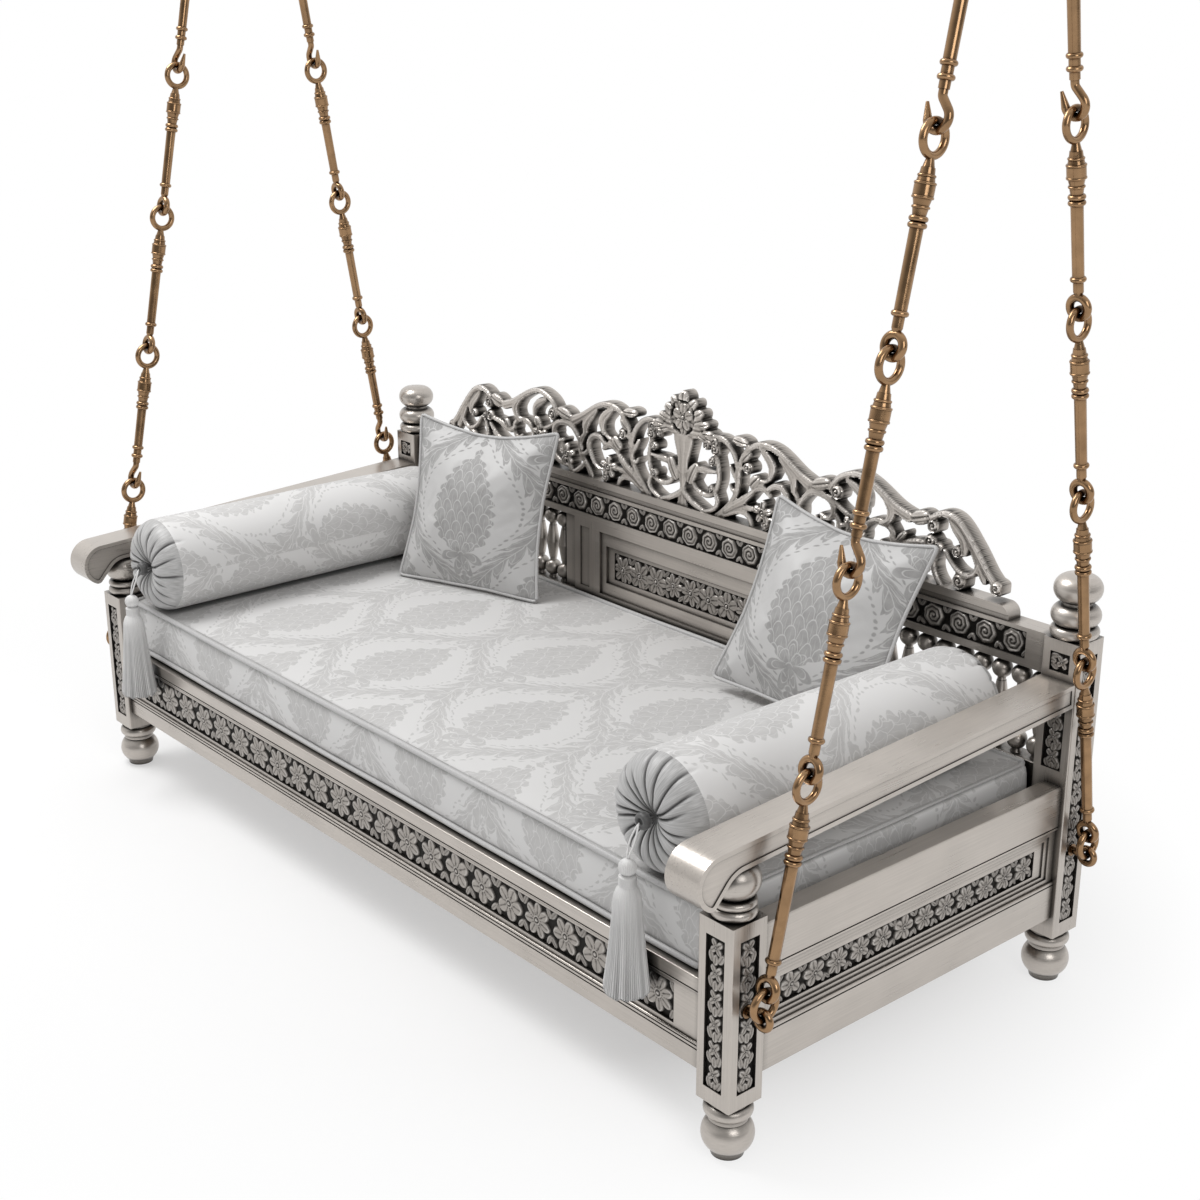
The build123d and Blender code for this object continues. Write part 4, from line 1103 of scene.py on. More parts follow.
        for order, band in enumerate(self.bands + self.stem):
            level = 0.62 + 0.08 * (order % 4)
            points, half = band.sampled(8 * len(band.points))
            points = points * shrink
            for p, q, a, b in zip(points[:-1], points[1:], half[:-1], half[1:]):
                at = near(*((p + q) / 2), np.linalg.norm(q - p) / 2 + max(a, b) + 4 * self.step)
                gap = q - p
                du, dv = x[at] - p[0], z[at] - p[1]
                t = np.clip((du * gap[0] + dv * gap[1]) / (gap @ gap + 1e-9), 0, 1)
                radius = a + (b - a) * t
                off = np.hypot(du - t * gap[0], dv - t * gap[1])
                distance[at] = np.minimum(distance[at], off - radius)
                k = off / radius
                rise = level * (0.70 + 0.34 * dome(k) - 0.34 * bell(k, 0.46, 0.15))
                height[at] = np.maximum(height[at], np.where(k < 1, rise, 0))
        for leaf in self.leaves + self.bloom:
            at = near(leaf.x, leaf.z, max(leaf.length, leaf.width) / 2 + 4 * self.step)
            a, b = oval(x[at] - leaf.x * shrink[0], z[at] - leaf.z * shrink[1], leaf.length, leaf.width, leaf.turn)
            k = np.hypot(a, b)
            distance[at] = np.minimum(distance[at], (k - 1) * min(leaf.length, leaf.width) / 2)
            if leaf.length == leaf.width:
                swirl = 0.20 * np.cos(2 * np.pi * (2.1 * k - np.arctan2(b, a) / (2 * np.pi))) - 0.10
            else:
                swirl = -0.26 * bell(b, 0, 0.15) - 0.10 * bell(np.abs(b), 0.55, 0.12)
            height[at] = np.maximum(height[at], np.where(k < 1, 0.50 + 0.50 * dome(k) + swirl, 0))
        self.carve_bloom(x, z, height)
        return x, z, distance, np.clip(height, 0, 1)

    def carve_bloom(self, x: np.ndarray, z: np.ndarray, height: np.ndarray) -> None:
        """Cuts the tall flower into the heights: two rings of five round petals about a ringed boss.

        Args:
            x: grid.
            z: grid.
            height: heights, changed in place.
        """
        middle = self.bloom[0].z * self.rise / self.drawn_rise
        zone = np.hypot(x, z - middle) < 33
        height[zone] = np.minimum(height[zone], 0.32)
        for radius, size, count, peak, phase in ((24, 21, 5, 0.74, 36), (17, 22, 5, 0.96, 0)):
            for petal in range(count):
                turn = math.radians(phase + 360 * petal / count)
                du, dv = x - radius * math.sin(turn), z - middle - radius * math.cos(turn)
                a = (du * math.sin(turn) + dv * math.cos(turn)) / (size / 2)
                b = (dv * math.sin(turn) - du * math.cos(turn)) / (size * 0.46)
                k = np.hypot(a, b)
                rise = peak * (0.55 + 0.27 * dome(k) + 0.18 * bell(k, 0.8, 0.14)) - 0.14 * bell(b, 0, 0.13)
                inside = (k < 1) & zone
                height[inside] = np.maximum(rise[inside], height[inside] * 0.75)
        r = np.hypot(x, z - middle) / 8
        rise = 0.62 + 0.38 * dome(r) - 0.40 * bell(r, 0.55, 0.16)
        height[r < 1] = rise[r < 1]

    def walls(self, kept: np.ndarray, number: np.ndarray, count: int) -> list[np.ndarray]:
        """Quads between front and back on each side of a kept cell whose neighbour there is open.

        Args:
            kept: which cells of the grid are wood.
            number: vertex number of each grid point on the front.
            count: what a vertex number of the front lacks to its twin on the back.
        Returns:
            The quads of each of the four directions.
        """
        r, c = np.nonzero(kept)
        padded = np.pad(kept, 1)
        made = []
        for down, over, first, second in ((-1, 0, (0, 0), (0, 1)), (0, 1, (0, 1), (1, 1)), (1, 0, (1, 1), (1, 0)),
                                          (0, -1, (1, 0), (0, 0))):
            bare = ~padded[r + 1 + down, c + 1 + over]
            a, b = (number[r[bare] + corner[0], c[bare] + corner[1]] for corner in (first, second))
            made.append(np.stack([b, a, a + count, b + count], -1))
        return made

    def smooth_outline(self, face: np.ndarray, walls: list[np.ndarray], base: float) -> None:
        """Moves each point of the outline half way to the mean of its neighbours, four times.

        Args:
            face: points of the front, changed in place.
            walls: the walls, whose first two corners run along the outline.
            base: height of the board's foot, where points stay.
        """
        outline = np.concatenate([w[:, :2] for w in walls])
        for _ in range(4):
            total, times = np.zeros((len(face), 2)), np.zeros(len(face))
            for one, other in (outline.T, outline.T[::-1]):
                np.add.at(total, one, face[other][:, [0, 2]])
                np.add.at(times, one, 1)
            soft = (times > 0) & (face[:, 2] > base + 0.001)
            mean = total[soft] / times[soft][:, None]
            moved = np.ix_(soft, [0, 2])
            face[moved] = 0.5 * face[moved] + 0.5 * mean

    def build(self, finish: bpy.types.Material) -> bpy.types.Object:
        """Makes the board: the carved front, a flat back and walls between them along the outline.

        Args:
            finish: its material.
        Returns:
            The piece.
        """
        half = self.field()
        x, z, distance, height = (np.concatenate([sign * part[:, :0:-1], part], 1)
                                  for sign, part in zip((-1, 1, 1, 1), half))
        slope_z, slope_x = np.gradient(distance, self.step)
        size = np.hypot(slope_x, slope_z) + 1e-6
        middle = (distance[1:, 1:] + distance[1:, :-1] + distance[:-1, 1:] + distance[:-1, :-1]) / 4
        kept = middle < 0
        edge = np.zeros(x.shape, dtype=int)
        for r, c in ((0, 0), (0, 1), (1, 0), (1, 1)):
            edge[r:r + kept.shape[0], c:c + kept.shape[1]] += kept
        rim = (edge > 0) & (edge < 4)
        rim[0] = False
        pull = np.where(rim, np.clip(distance / size, -self.step, self.step), 0)
        x, z = x - pull * slope_x / size, np.maximum(z - pull * slope_z / size, 0)
        used = edge > 0
        number = np.full(x.shape, -1)
        number[used] = np.arange(used.sum())
        low, high, _ = node_box("crest")
        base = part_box("crest_base")[1][2]
        height = np.where(rim, height * 0.4, height)
        face_y = low[1] + (1 - height) * self.carve_depth * MM
        count = int(used.sum())
        face = np.stack([x[used] * MM, face_y[used], z[used] * MM + base], -1)
        r, c = np.nonzero(kept)
        quads = np.stack([number[r, c], number[r, c + 1], number[r + 1, c + 1], number[r + 1, c]], -1)
        walls = self.walls(kept, number, count)
        self.smooth_outline(face, walls, base)
        rear = face.copy()
        rear[:, 1] = high[1]
        faces = np.concatenate([quads, quads[:, ::-1] + count, *walls])
        # Antique darkening and painted shade on the low parts and in hollows of the front; polish and a painted
        # highlight on its ridges.
        proud = height - blurred(height, 2)
        dark = np.clip(np.maximum(0.95 - 1.8 * height, -5.0 * proud), 0, 0.95)
        ridge_wear_and_light = np.clip(3.0 * proud - 0.20, 0, 1)
        paint, wear_and_painted_light = (np.concatenate([front[used], np.zeros(count)]) for front in (dark, ridge_wear_and_light))
        piece = make_piece("crest_scrollwork", np.concatenate([face, rear]), [faces], "bench", finish,
                           paint=paint, wear_and_painted_light=wear_and_painted_light, sharp=52)
        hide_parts("crest")
        return piece


# ------------------------------------------------------------------ cushions
@dataclass
class Pillow:
    """A square scatter cushion with a piped seam, leaning on its lower edge."""

    side: str
    yaw: float
    lean: float
    roll: float
    size: float = 0.345
    thickness: float = 0.112
    cells: int = 64
    piping: float = 0.0034
    give: float = 0.10
    side_bow: float = 0.070
    top_bow: float = 0.120
    foot_bow: float = 0.010
    steps: int = 32
    filling = {"quality": 6, "mass": 0.25, "tension_stiffness": 22, "compression_stiffness": 22,
               "shear_stiffness": 8, "bending_stiffness": 0.35, "use_pressure": True, "uniform_pressure_force": 5.5}

    def local_axes(self) -> np.ndarray:
        """Columns are the pillow's own x, y and z axes: yaw, then lean back, then roll in its plane.

        Returns:
            A 3 by 3 matrix.
        """
        a, b, c = (math.radians(v) for v in (self.yaw, -self.lean, -self.roll))
        about_z = np.array([[math.cos(a), -math.sin(a), 0], [math.sin(a), math.cos(a), 0], [0, 0, 1]])
        about_x = np.array([[1, 0, 0], [0, math.cos(b), -math.sin(b)], [0, math.sin(b), math.cos(b)]])
        about_y = np.array([[math.cos(c), 0, math.sin(c)], [0, 1, 0], [-math.sin(c), 0, math.cos(c)]])
        return about_z @ about_x @ about_y

    def flat(self) -> tuple[np.ndarray, np.ndarray, np.ndarray]:
        """Two square cloths joined along their edge, slightly apart.

        The seam bows inwards by a share of (1 - u squared) between the corners, least at the foot it stands on.

        Returns:
            Points, quads and cloth coordinates of their corners.
        """
        n = self.cells + 1
        line = np.linspace(-1, 1, n)
        u, v = np.meshgrid(line, line)
        sag = np.where(v > 0, self.top_bow, self.foot_bow)
        x = u * (1 - self.side_bow * (1 - v**2) * np.abs(u) ** 3) * self.size / 2
        z = v * (1 - sag * (1 - u**2) * np.abs(v) ** 3) * self.size / 2
        gap = 0.010 * (1 - u**4) * (1 - v**4)
        front = np.stack([x, -gap, z], -1).reshape(-1, 3)
        inner = np.zeros((n, n), dtype=bool)
        inner[1:-1, 1:-1] = True
        number = np.arange(n * n).reshape(n, n)
        behind = number.copy()
        behind[inner] = n * n + np.arange(inner.sum())
        rear = np.stack([x, gap, z], -1)[inner]
        fronts, _ = grid_faces(n, n, False)
        points = np.concatenate([front, rear])
        quads = np.concatenate([fronts, behind.ravel()[fronts[:, [0, 3, 2, 1]]]])
        return points, quads, points[:, [0, 2]][quads]

    def inflate(self, piece: bpy.types.Object) -> np.ndarray:
        """Fills the joined cloths by a short cloth simulation under inner pressure.

        Args:
            piece: the flat piece, unturned.
        Returns:
            The simulated points.
        """
        cloth = piece.modifiers.new("filling", "CLOTH")
        for name, value in self.filling.items():
            setattr(cloth.settings, name, value)
        cloth.settings.effector_weights.gravity = 0
        cloth.point_cache.frame_start, cloth.point_cache.frame_end = 1, self.steps + 2
        scene = bpy.context.scene
        for step in range(1, self.steps + 1):
            scene.frame_set(step)
        seen = piece.evaluated_get(bpy.context.evaluated_depsgraph_get())
        result = np.empty(len(piece.data.vertices) * 3, dtype=np.float32)
        seen.data.vertices.foreach_get("co", result)
        piece.modifiers.remove(cloth)
        scene.frame_set(1)
        return result.reshape(-1, 3).astype(float)

    def held(self, points: np.ndarray, filled: np.ndarray) -> np.ndarray:
        """Lets the seam of the filled points pull in by only a share of what free cloth would, as piping does.

        Args:
            points: the flat cloths.
            filled: the same points after the simulation.
        Returns:
            The filled points with the seam held.
        """
        plane = filled[:, [0, 2]] * self.size / np.ptp(filled[:, [0, 2]], axis=0).max()
        plane = points[:, [0, 2]] + self.give * (plane - points[:, [0, 2]])
        return np.stack([plane[:, 0], filled[:, 1], plane[:, 1]], -1)

    def puckers(self, points: np.ndarray) -> np.ndarray:
        """Depth of the small gathers that run in from the seam, in metres.

        Args:
            points: the flat cloths.
        Returns:
            How far each point sinks.
        """
        u, v = points[:, 0] / (self.size / 2), points[:, 2] / (self.size / 2)
        depth = np.zeros(len(points))
        for inward, along, phase in ((u, v, 0.4), (v, u, 2.1)):
            from_seam = 1 - np.abs(inward)
            line = along + 0.06 * np.sin(7 * along + phase) + 0.04 * np.sign(inward)
            crease = np.clip(np.cos(19 * line + phase) - 0.25, 0, 1) + 0.5 * np.clip(np.cos(31 * line) - 0.5, 0, 1)
            reach = 0.10 + 0.06 * np.sin(11 * along + phase + np.sign(inward))
            depth += crease * from_seam / 0.05 * np.exp(-from_seam / reach) * 0.0016
        return depth

    def build(self, cloth: bpy.types.Material, cord: bpy.types.Material) -> bpy.types.Object:
        """Makes the pillow and its piping, and puts both where the CAD pillow is.

        Args:
            cloth: damask.
            cord: piping cloth.
        Returns:
            The pillow.
        """
        node, body = f"pillow_{self.side}", f"pillow_{self.side}_body"
        points, quads, uv = self.flat()
        piece = make_piece(f"{node}_cover", points, [quads], body, cloth, uv=[uv])
        shaped = self.held(points, self.inflate(piece))
        shaped[:, 1] -= (shaped[:, 1].max() + shaped[:, 1].min()) / 2
        shaped[:, [0, 2]] *= (self.size - 0.004) / np.ptp(shaped[:, [0, 2]], axis=0).max()
        shaped[:, 1] *= self.thickness / np.ptp(shaped[:, 1])
        shaped[:, 1] -= np.sign(shaped[:, 1]) * np.minimum(self.puckers(points), np.abs(shaped[:, 1]) * 0.5)
        world = shaped @ self.local_axes().T + node_box(node)[2]
        piece.data.vertices.foreach_set("co", world.astype(np.float32).ravel())
        piece.data.update()
        smooth = piece.modifiers.new("smooth", "SUBSURF")
        smooth.levels = smooth.render_levels = 1
        n = self.cells + 1
        number = np.arange(n * n).reshape(n, n)
        loop = np.concatenate([number[0, :-1], number[:-1, -1], number[-1, :0:-1], number[:0:-1, 0]])
        seam = world[loop]
        for _ in range(3):
            seam = 0.25 * np.roll(seam, 1, 0) + 0.5 * seam + 0.25 * np.roll(seam, -1, 0)
        piping = make_cord(f"{node}_piping", seam, self.piping, body, cord)
        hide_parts(node)
        LOG.info("%s: %d points, piping %s", piece.name, len(world), piping.name)
        return piece


@dataclass
class Mattress:
    """Boxed seat mattress with piping on both edges and a faint crown."""

    crown: float = 0.006
    edge: float = 0.016
    corner: float = 0.020
    piping: float = 0.0050
    columns: int = 520
    face_rings: int = 46
    wall_rings: int = 17
    bulge: float = 0.0035
    unevenness: float = 0.0016
    fall: float = 0.004

    def outline(self, inset: float, low: np.ndarray, high: np.ndarray) -> np.ndarray:
        """A rectangle with round corners, evenly walked anticlockwise from the middle of its right side.

        Args:
            inset: distance inside the CAD box.
            low: lowest corner of the box.
            high: highest corner.
        Returns:
            (columns, 2) points.
        """
        r = max(self.corner - inset, 0.002)
        x0, y0, x1, y1 = low[0] + inset + r, low[1] + inset + r, high[0] - inset - r, high[1] - inset - r
        turn = np.linspace(0, np.pi / 2, 9)
        corners = []
        for cx, cy, start in ((x1, y0, -np.pi / 2), (x1, y1, 0), (x0, y1, np.pi / 2), (x0, y0, np.pi)):
            corners.append(np.stack([cx + r * np.cos(start + turn), cy + r * np.sin(start + turn)], -1))
        loop = np.concatenate([*corners, corners[0][:1]])
        far = walked(loop)
        at = (np.linspace(0, far[-1], self.columns, endpoint=False) + far[8] + (y1 - y0) / 2) % far[-1]
        return np.stack([np.interp(at, far, loop[:, 0]), np.interp(at, far, loop[:, 1])], -1)

    def rings(self, half: float) -> list[tuple[float, float, float]]:
        """The rings from the middle of the underside, up the wall, to the middle of the top.

        The wall bulges by (1 - t squared) and is pinched at its pipings.

        Args:
            half: half the thickness.
        Returns:
            For each its share of the outline, its height from the middle and its push outwards.
        """
        spread = np.linspace(0, 1, self.face_rings) ** 1.1
        made = [(k, -half, 0.0) for k in spread[:-1]]
        for t in np.linspace(-1, 1, self.wall_rings):
            pinch = self.edge * 0.35 * max(0.0, (abs(t) - 0.82) / 0.18) ** 2
            made.append((1.0, half * t * 0.985, self.bulge * (1 - t**2) - pinch))
        return made + [(k, half, 0.0) for k in 1 - spread[1:]]

    def build(self, cloth: bpy.types.Material, cord: bpy.types.Material) -> bpy.types.Object:
        """Makes the mattress: rings from the middle of the underside, round the edge, to the middle of the top.

        Each ring is the outline shrunk by k towards the long middle line. The top has a crown of (1 - k cubed),
        a fall at its rim by the 14th power of k, and seeded unevenness like that of sat-on foam.

        Args:
            cloth: damask.
            cord: piping cloth.
        Returns:
            The mattress.
        """
        low, high, centre = node_box("mattress")
        outer = self.outline(0.004, low, high)
        deep = (high[1] - low[1]) / 2
        middle = np.clip(outer[:, 0], low[0] + deep, high[0] - deep)
        spine = np.stack([middle, np.full(self.columns, centre[1])], -1)
        away = outer - spine
        outwards = away / np.linalg.norm(away, axis=1, keepdims=True)
        half = (high[2] - low[2]) / 2 - 0.002
        rows = []
        for k, rise, push in self.rings(half):
            flat = spine + away * k + outwards * push
            if rise >= half:
                soft = wavy(flat[:, 0] * 9, flat[:, 1] * 9, 5, 9, 1.0) * self.unevenness * (1 - k**4)
                rise = rise + self.crown * (1 - k**3) + soft - self.fall * k**14
            rows.append(np.column_stack([flat, np.full(self.columns, centre[2]) + rise]))
        stack = np.array(rows)
        stack[..., 2] = np.minimum(stack[..., 2], high[2] + 0.004)
        points = stack.reshape(-1, 3)
        quads, at = grid_faces(len(rows), self.columns, True)
        row, column = at[..., 0], at[..., 1]
        first = self.face_rings - 1
        on_wall = ((row >= first) & (row < first + self.wall_rings)).all(axis=1)
        walk = walked(np.vstack([outer, outer[:1]]))[column]
        uv = np.where(on_wall[:, None, None], np.stack([walk, points[quads][..., 2] - high[2]], -1),
                      points[quads][..., :2])
        piece = make_piece("mattress_cover", points, [quads], "mattress_body", cloth, uv=[uv],
                           weld=2e-5)
        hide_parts("mattress")
        for name, z in (("top", high[2] - 0.0055), ("bottom", low[2] + 0.0055)):
            path = np.column_stack([self.outline(0.0022, low, high), np.full(self.columns, z)])
            path[:, 2] += 0.0012 * np.sin(path[:, 0] * 11) * np.cos(path[:, 0] * 5)
            on_side = np.clip((np.abs(path[:, 0]) - high[0] + 0.024) / 0.016, 0, 1)
            path[:, 0] -= np.sign(path[:, 0]) * 0.011 * on_side
            make_cord(f"mattress_piping_{name}", path, self.piping, "mattress_body", cord)
        return piece


@dataclass
class Bolster:
    """Round arm bolster, gathered at both ends into a covered button."""

    side: str
    pleats: int = 18
    columns: int = 288
    corner: float = 0.044
    hub: float = 0.010
    gathered: float = 0.098
    pleat_least: float = 0.066
    pleat_most: float = 0.122
    pleat_sink: float = 0.0045
    pleat_dent: float = 0.0090

    def profile(self, radius: float, length: float) -> tuple[np.ndarray, np.ndarray, np.ndarray]:
        """The roll's outline from end to end: a dished end face, a quarter round, a straight side, then mirrored.

        Args:
            radius: radius of the roll.
            length: its length.
        Returns:
            Radius, place along the axis and distance walked from the nearer button, each (n, 1).
        """
        end_r = np.linspace(self.hub, radius - self.corner, 30)
        face = 0.016 * np.exp(-((end_r - self.hub) / 0.018)) + 0.004 * (end_r / radius) ** 2
        turn = np.linspace(0, np.pi / 2, 18)[1:]
        bend_r = radius - self.corner + self.corner * np.sin(turn)
        bend_y = face[-1] + self.corner * (1 - np.cos(turn))
        run = np.linspace(bend_y[-1], length / 2, 40)[1:]
        r = np.concatenate([end_r, bend_r, np.full(len(run), radius)])
        y = np.concatenate([face, bend_y, run])
        far = walked(np.stack([r, y], -1))
        r, y, far = (np.concatenate([front, back[-2::-1]])[:, None]
                     for front, back in ((r, r), (y, length - y), (far, far)))
        return r, y, far

    def creases(self, r: np.ndarray, far: np.ndarray, theta: np.ndarray) -> np.ndarray:
        """Depth of the pleats: e to the minus 1.3th power of the distance from a pleat's line over its width.

        A pleat widens away from the button and fades out at a length of its own.

        Args:
            r: radius of each ring, (n, 1).
            far: distance of each ring from the button, (n, 1).
            theta: angles of the columns.
        Returns:
            (rings, columns) values from 0 to 1.
        """
        rng = np.random.default_rng(11 if self.side == "left" else 12)
        folds = 2 * np.pi * (np.arange(self.pleats) + rng.uniform(-0.22, 0.22, self.pleats)) / self.pleats
        lengths = rng.uniform(self.pleat_least, self.pleat_most, self.pleats)
        apart = (theta[None, :] - folds[:, None] + np.pi) % (2 * np.pi) - np.pi
        sideways = apart[None] * r[..., None] + 0.0035 * np.sin(far / 0.02)[..., None]
        spread = 0.0013 + 0.015 * far[..., None]
        fade = np.clip((lengths[None, :, None] - far[..., None]) / 0.030, 0, 1) ** 0.7
        return (np.exp(-np.abs(sideways / spread) ** 1.3) * fade).max(1)

    def build(self, cloth: bpy.types.Material, plain: bpy.types.Material,
              covered: bpy.types.Material) -> bpy.types.Object:
        """Makes the bolster: its profile turned about its axis, with pleats sunk into the ends.

        Args:
            cloth: damask of the roll.
            plain: plain cloth of the gathered ends.
            covered: cloth of the button.
        Returns:
            The roll.
        """
        node, body = f"bolster_{self.side}", f"bolster_{self.side}_body"
        low, high, centre = node_box(node)
        radius = (high[0] - low[0]) / 2
        length = high[1] - low[1]
        r, y, far = self.profile(radius, length)
        theta = circle(self.columns)
        crease = self.creases(r, far, theta)
        ring_r = r - self.pleat_sink * crease * (r / radius) ** 2
        inward = np.clip(1.25 - r / radius, 0, 1)
        ring_y = y + np.where(y < length / 2, 1, -1) * (self.pleat_dent * crease * inward)
        soft = wavy(theta[None, :], y * 9, 7 if self.side == "left" else 8, 8, 1.0)
        soft = soft * np.sin(np.pi * np.clip(y / length, 0, 1)) * 0.0012
        ring_r = np.minimum(ring_r + soft, radius + 0.001)
        z = ring_r * np.sin(theta)
        z = np.where(z < 0, z * 0.992, z)
        stack = np.stack([centre[0] + ring_r * np.cos(theta), low[1] + ring_y, centre[2] + z], -1)
        points, faces, at = round_surface(stack)
        uv = [np.stack([a[..., 1] / self.columns * 2 * np.pi * radius, y[a[..., 0].astype(int), 0]], -1) for a in at]
        # Painted shade in the pleats and at the two hubs.
        paint = np.concatenate([(np.clip(crease * 1.5 - 0.20, 0, 1) ** 1.1).ravel(), [0.9, 0.9]])
        piece = make_piece(f"{node}_roll", points, faces, body, cloth, uv=uv, paint=paint)
        piece.data.materials.append(plain)
        row_of = np.concatenate([a[:, 0, 0] for a in at]).astype(int)
        plain_face = (far[row_of, 0] < self.gathered).astype(np.int32)
        piece.data.polygons.foreach_set("material_index", plain_face)
        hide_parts(node)
        LOG.info("%s: %d faces", piece.name, len(piece.data.polygons))
        self.button(covered)
        return piece

    def button(self, finish: bpy.types.Material) -> None:
        """Makes the covered button: a shallow domed profile with a small hollow, turned about its axis.

        Args:
            finish: its cloth.
        """
        node = f"bolster_button_{self.side}"
        low, high, centre = node_box(node)
        radius, deep = (high[0] - low[0]) / 2, high[1] - low[1]
        k = np.array([0.12, 0.25, 0.36, 0.44, 0.55, 0.70, 0.84, 0.94, 1.0, 1.0, 0.97])[:, None]
        out = np.array([0.45, 0.50, 0.62, 0.86, 0.97, 1.0, 0.90, 0.70, 0.45, 0.0, -0.5])[:, None]
        theta = circle(48)
        r = k * radius * (1 + 0.02 * np.cos(12 * theta))
        stack = np.stack([centre[0] + r * np.cos(theta), np.broadcast_to(high[1] - out * deep, r.shape),
                          centre[2] + r * np.sin(theta)], -1)
        points, faces, at = round_surface(stack)
        uv = [np.stack([a[..., 1] / len(theta) * 0.08, a[..., 0] * 0.002], -1) for a in at]
        # Painted shade in the hollow middle of the button, and a little over the rest.
        paint = np.concatenate([np.repeat(np.where(k < 0.4, 0.9, 0.15), len(theta)), [1.0, 0.2]])
        piece = make_piece(f"{node}_cover", points, faces, f"bolster_{self.side}_body", finish,
                           uv=uv, paint=paint)
        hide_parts(node)


@dataclass
class Tassel:
    """A silk tassel: cord loop, round head, bound neck and a skirt of threads."""

    side: str
    threads: int = 58
    columns: int = 276
    head: float = 0.013
    neck: float = 0.0122
    neck_rings: int = 13

    def profile(self, top: float, foot: float, wide: float) -> tuple[np.ndarray, float, float]:
        """The tassel's outline from head to foot: a ball, a neck of bound cord and a flaring skirt.

        Args:
            top: height of the head's top.
            foot: height of the skirt's rim.
            wide: radius of the rim.
        Returns:
            (n, 2) radius and height, height of the neck's top, height of the skirt's top.
        """
        outline = [(self.head * math.sin(phi), top - self.head + self.head * math.cos(phi))
                   for phi in np.linspace(0.25, np.pi - 0.55, 14)]
        neck_top = outline[-1][1]
        for k in range(self.neck_rings):
            bead = 0.0009 * abs(math.sin(k * math.pi / 2))
            outline.append((self.neck + bead, neck_top - 0.0014 - 0.0012 * k))
        skirt_top = outline[-1][1]
        for t in np.linspace(0, 1, 34):
            swell = 0.0062 * min(t / 0.09, 1.0) ** 0.6
            flare = 0.0128 + swell + (wide - 0.0190) * t**1.25
            outline.append((min(flare, wide), skirt_top - 0.0015 - (skirt_top - 0.0015 - foot) * t))
        return np.array(outline), neck_top, skirt_top

    def build(self, silk: bpy.types.Material) -> bpy.types.Object:
        """Makes the tassel: its outline turned about its axis and rippled by threads.

        The skirt's radius is rippled by cosines of three thread counts that deepen downwards, and its lower
        rim is uneven by the same ripple.

        Args:
            silk: thread finish.
        Returns:
            The tassel.
        """
        node, body = f"tassel_{self.side}", f"tassel_{self.side}_body"
        low, high, centre = node_box(node)
        top, foot = high[2], low[2]
        wide = (high[0] - low[0]) / 2
        theta = circle(self.columns)
        outline, neck_top, skirt_top = self.profile(top, foot, wide)
        r, z = outline.T[..., None]
        down = np.clip((skirt_top - z) / (skirt_top - foot), 0, 1)
        rng = np.random.default_rng(21 if self.side == "left" else 22)
        p = rng.uniform(0, 6.28, 4)
        coarse = np.cos(9 * theta + p[0]) * 0.5 + np.cos(14 * theta + p[1]) * 0.5
        fine = np.cos(self.threads * theta + 2 * np.sin(3 * theta + p[2]))
        part = bell(theta, 3.95 - 0.35 * down, 0.035)
        ripple = coarse * 0.055 * down + fine * 0.030 * (0.4 + down) - 0.16 * part
        ripple = np.where(z > neck_top, 0.035 * np.cos(30 * theta), ripple)
        ripple = np.where((z <= neck_top) & (z > skirt_top - 1e-6), 0.0, ripple)
        radius = np.minimum(r * (1 + ripple - 0.05 * down), wide)
        height = z + (0.006 * (0.5 + 0.5 * coarse) + 0.003 * (0.5 + 0.5 * fine)) * down**6
        hollow = ((0.86, 0.004), (0.55, 0.022), (0.2, 0.04))
        stack_r = np.vstack([radius, *(radius[-1] * share for share, _ in hollow)])
        stack_z = np.vstack([height, *(height[-1] + rise for _, rise in hollow)])
        stack = np.stack([centre[0] + stack_r * np.cos(theta), centre[1] + stack_r * np.sin(theta), stack_z], -1)
        points, faces, at = round_surface(stack, flip=True)
        uv = [np.stack([a[..., 1] / self.columns * 0.2, a[..., 0] * 0.004], -1) for a in at]
        # Painted shade in the gaps between threads, in the parting and inside the hollow skirt.
        paint = np.clip(0.35 - ripple * 4.5, 0, 1) * np.clip(down * 3, 0, 1)
        paint = np.concatenate([paint.ravel(), np.full(len(hollow) * self.columns, 0.9), [0.0, 1.0]])
        piece = make_piece(f"{node}_threads", points, faces, body, silk, uv=uv, paint=paint)
        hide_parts(node)
        self.loop(body, silk, np.array([*centre[:2], top]))
        return piece

    def loop(self, body: str, silk: bpy.types.Material, head: np.ndarray) -> None:
        """Makes the doubled cord from the button down to the head: one closed loop, bowed out by half a sine.

        Args:
            body: body of the tassel.
            silk: thread finish.
            head: top of the tassel's head.
        """
        node = f"tassel_cord_{self.side}"
        _, high, centre = node_box(node)
        start = np.array([centre[0], high[1] - 0.001, high[2] - 0.0022])
        way = head + np.array([0, 0, -0.002]) - start
        t = np.linspace(0, 1, 25)
        out = np.outer(np.sin(np.pi * t) * 0.0046, [1, 0, 0])
        path = start + way * t[:, None]
        path[:, 1] += way[1] * (np.sin(np.pi * t / 2) - t) * 0.6
        ring = np.concatenate([path + out, (path - out)[-2:0:-1]])
        piece = make_cord(f"{node}_loop", ring, 0.0014, body, silk)
        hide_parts(node)


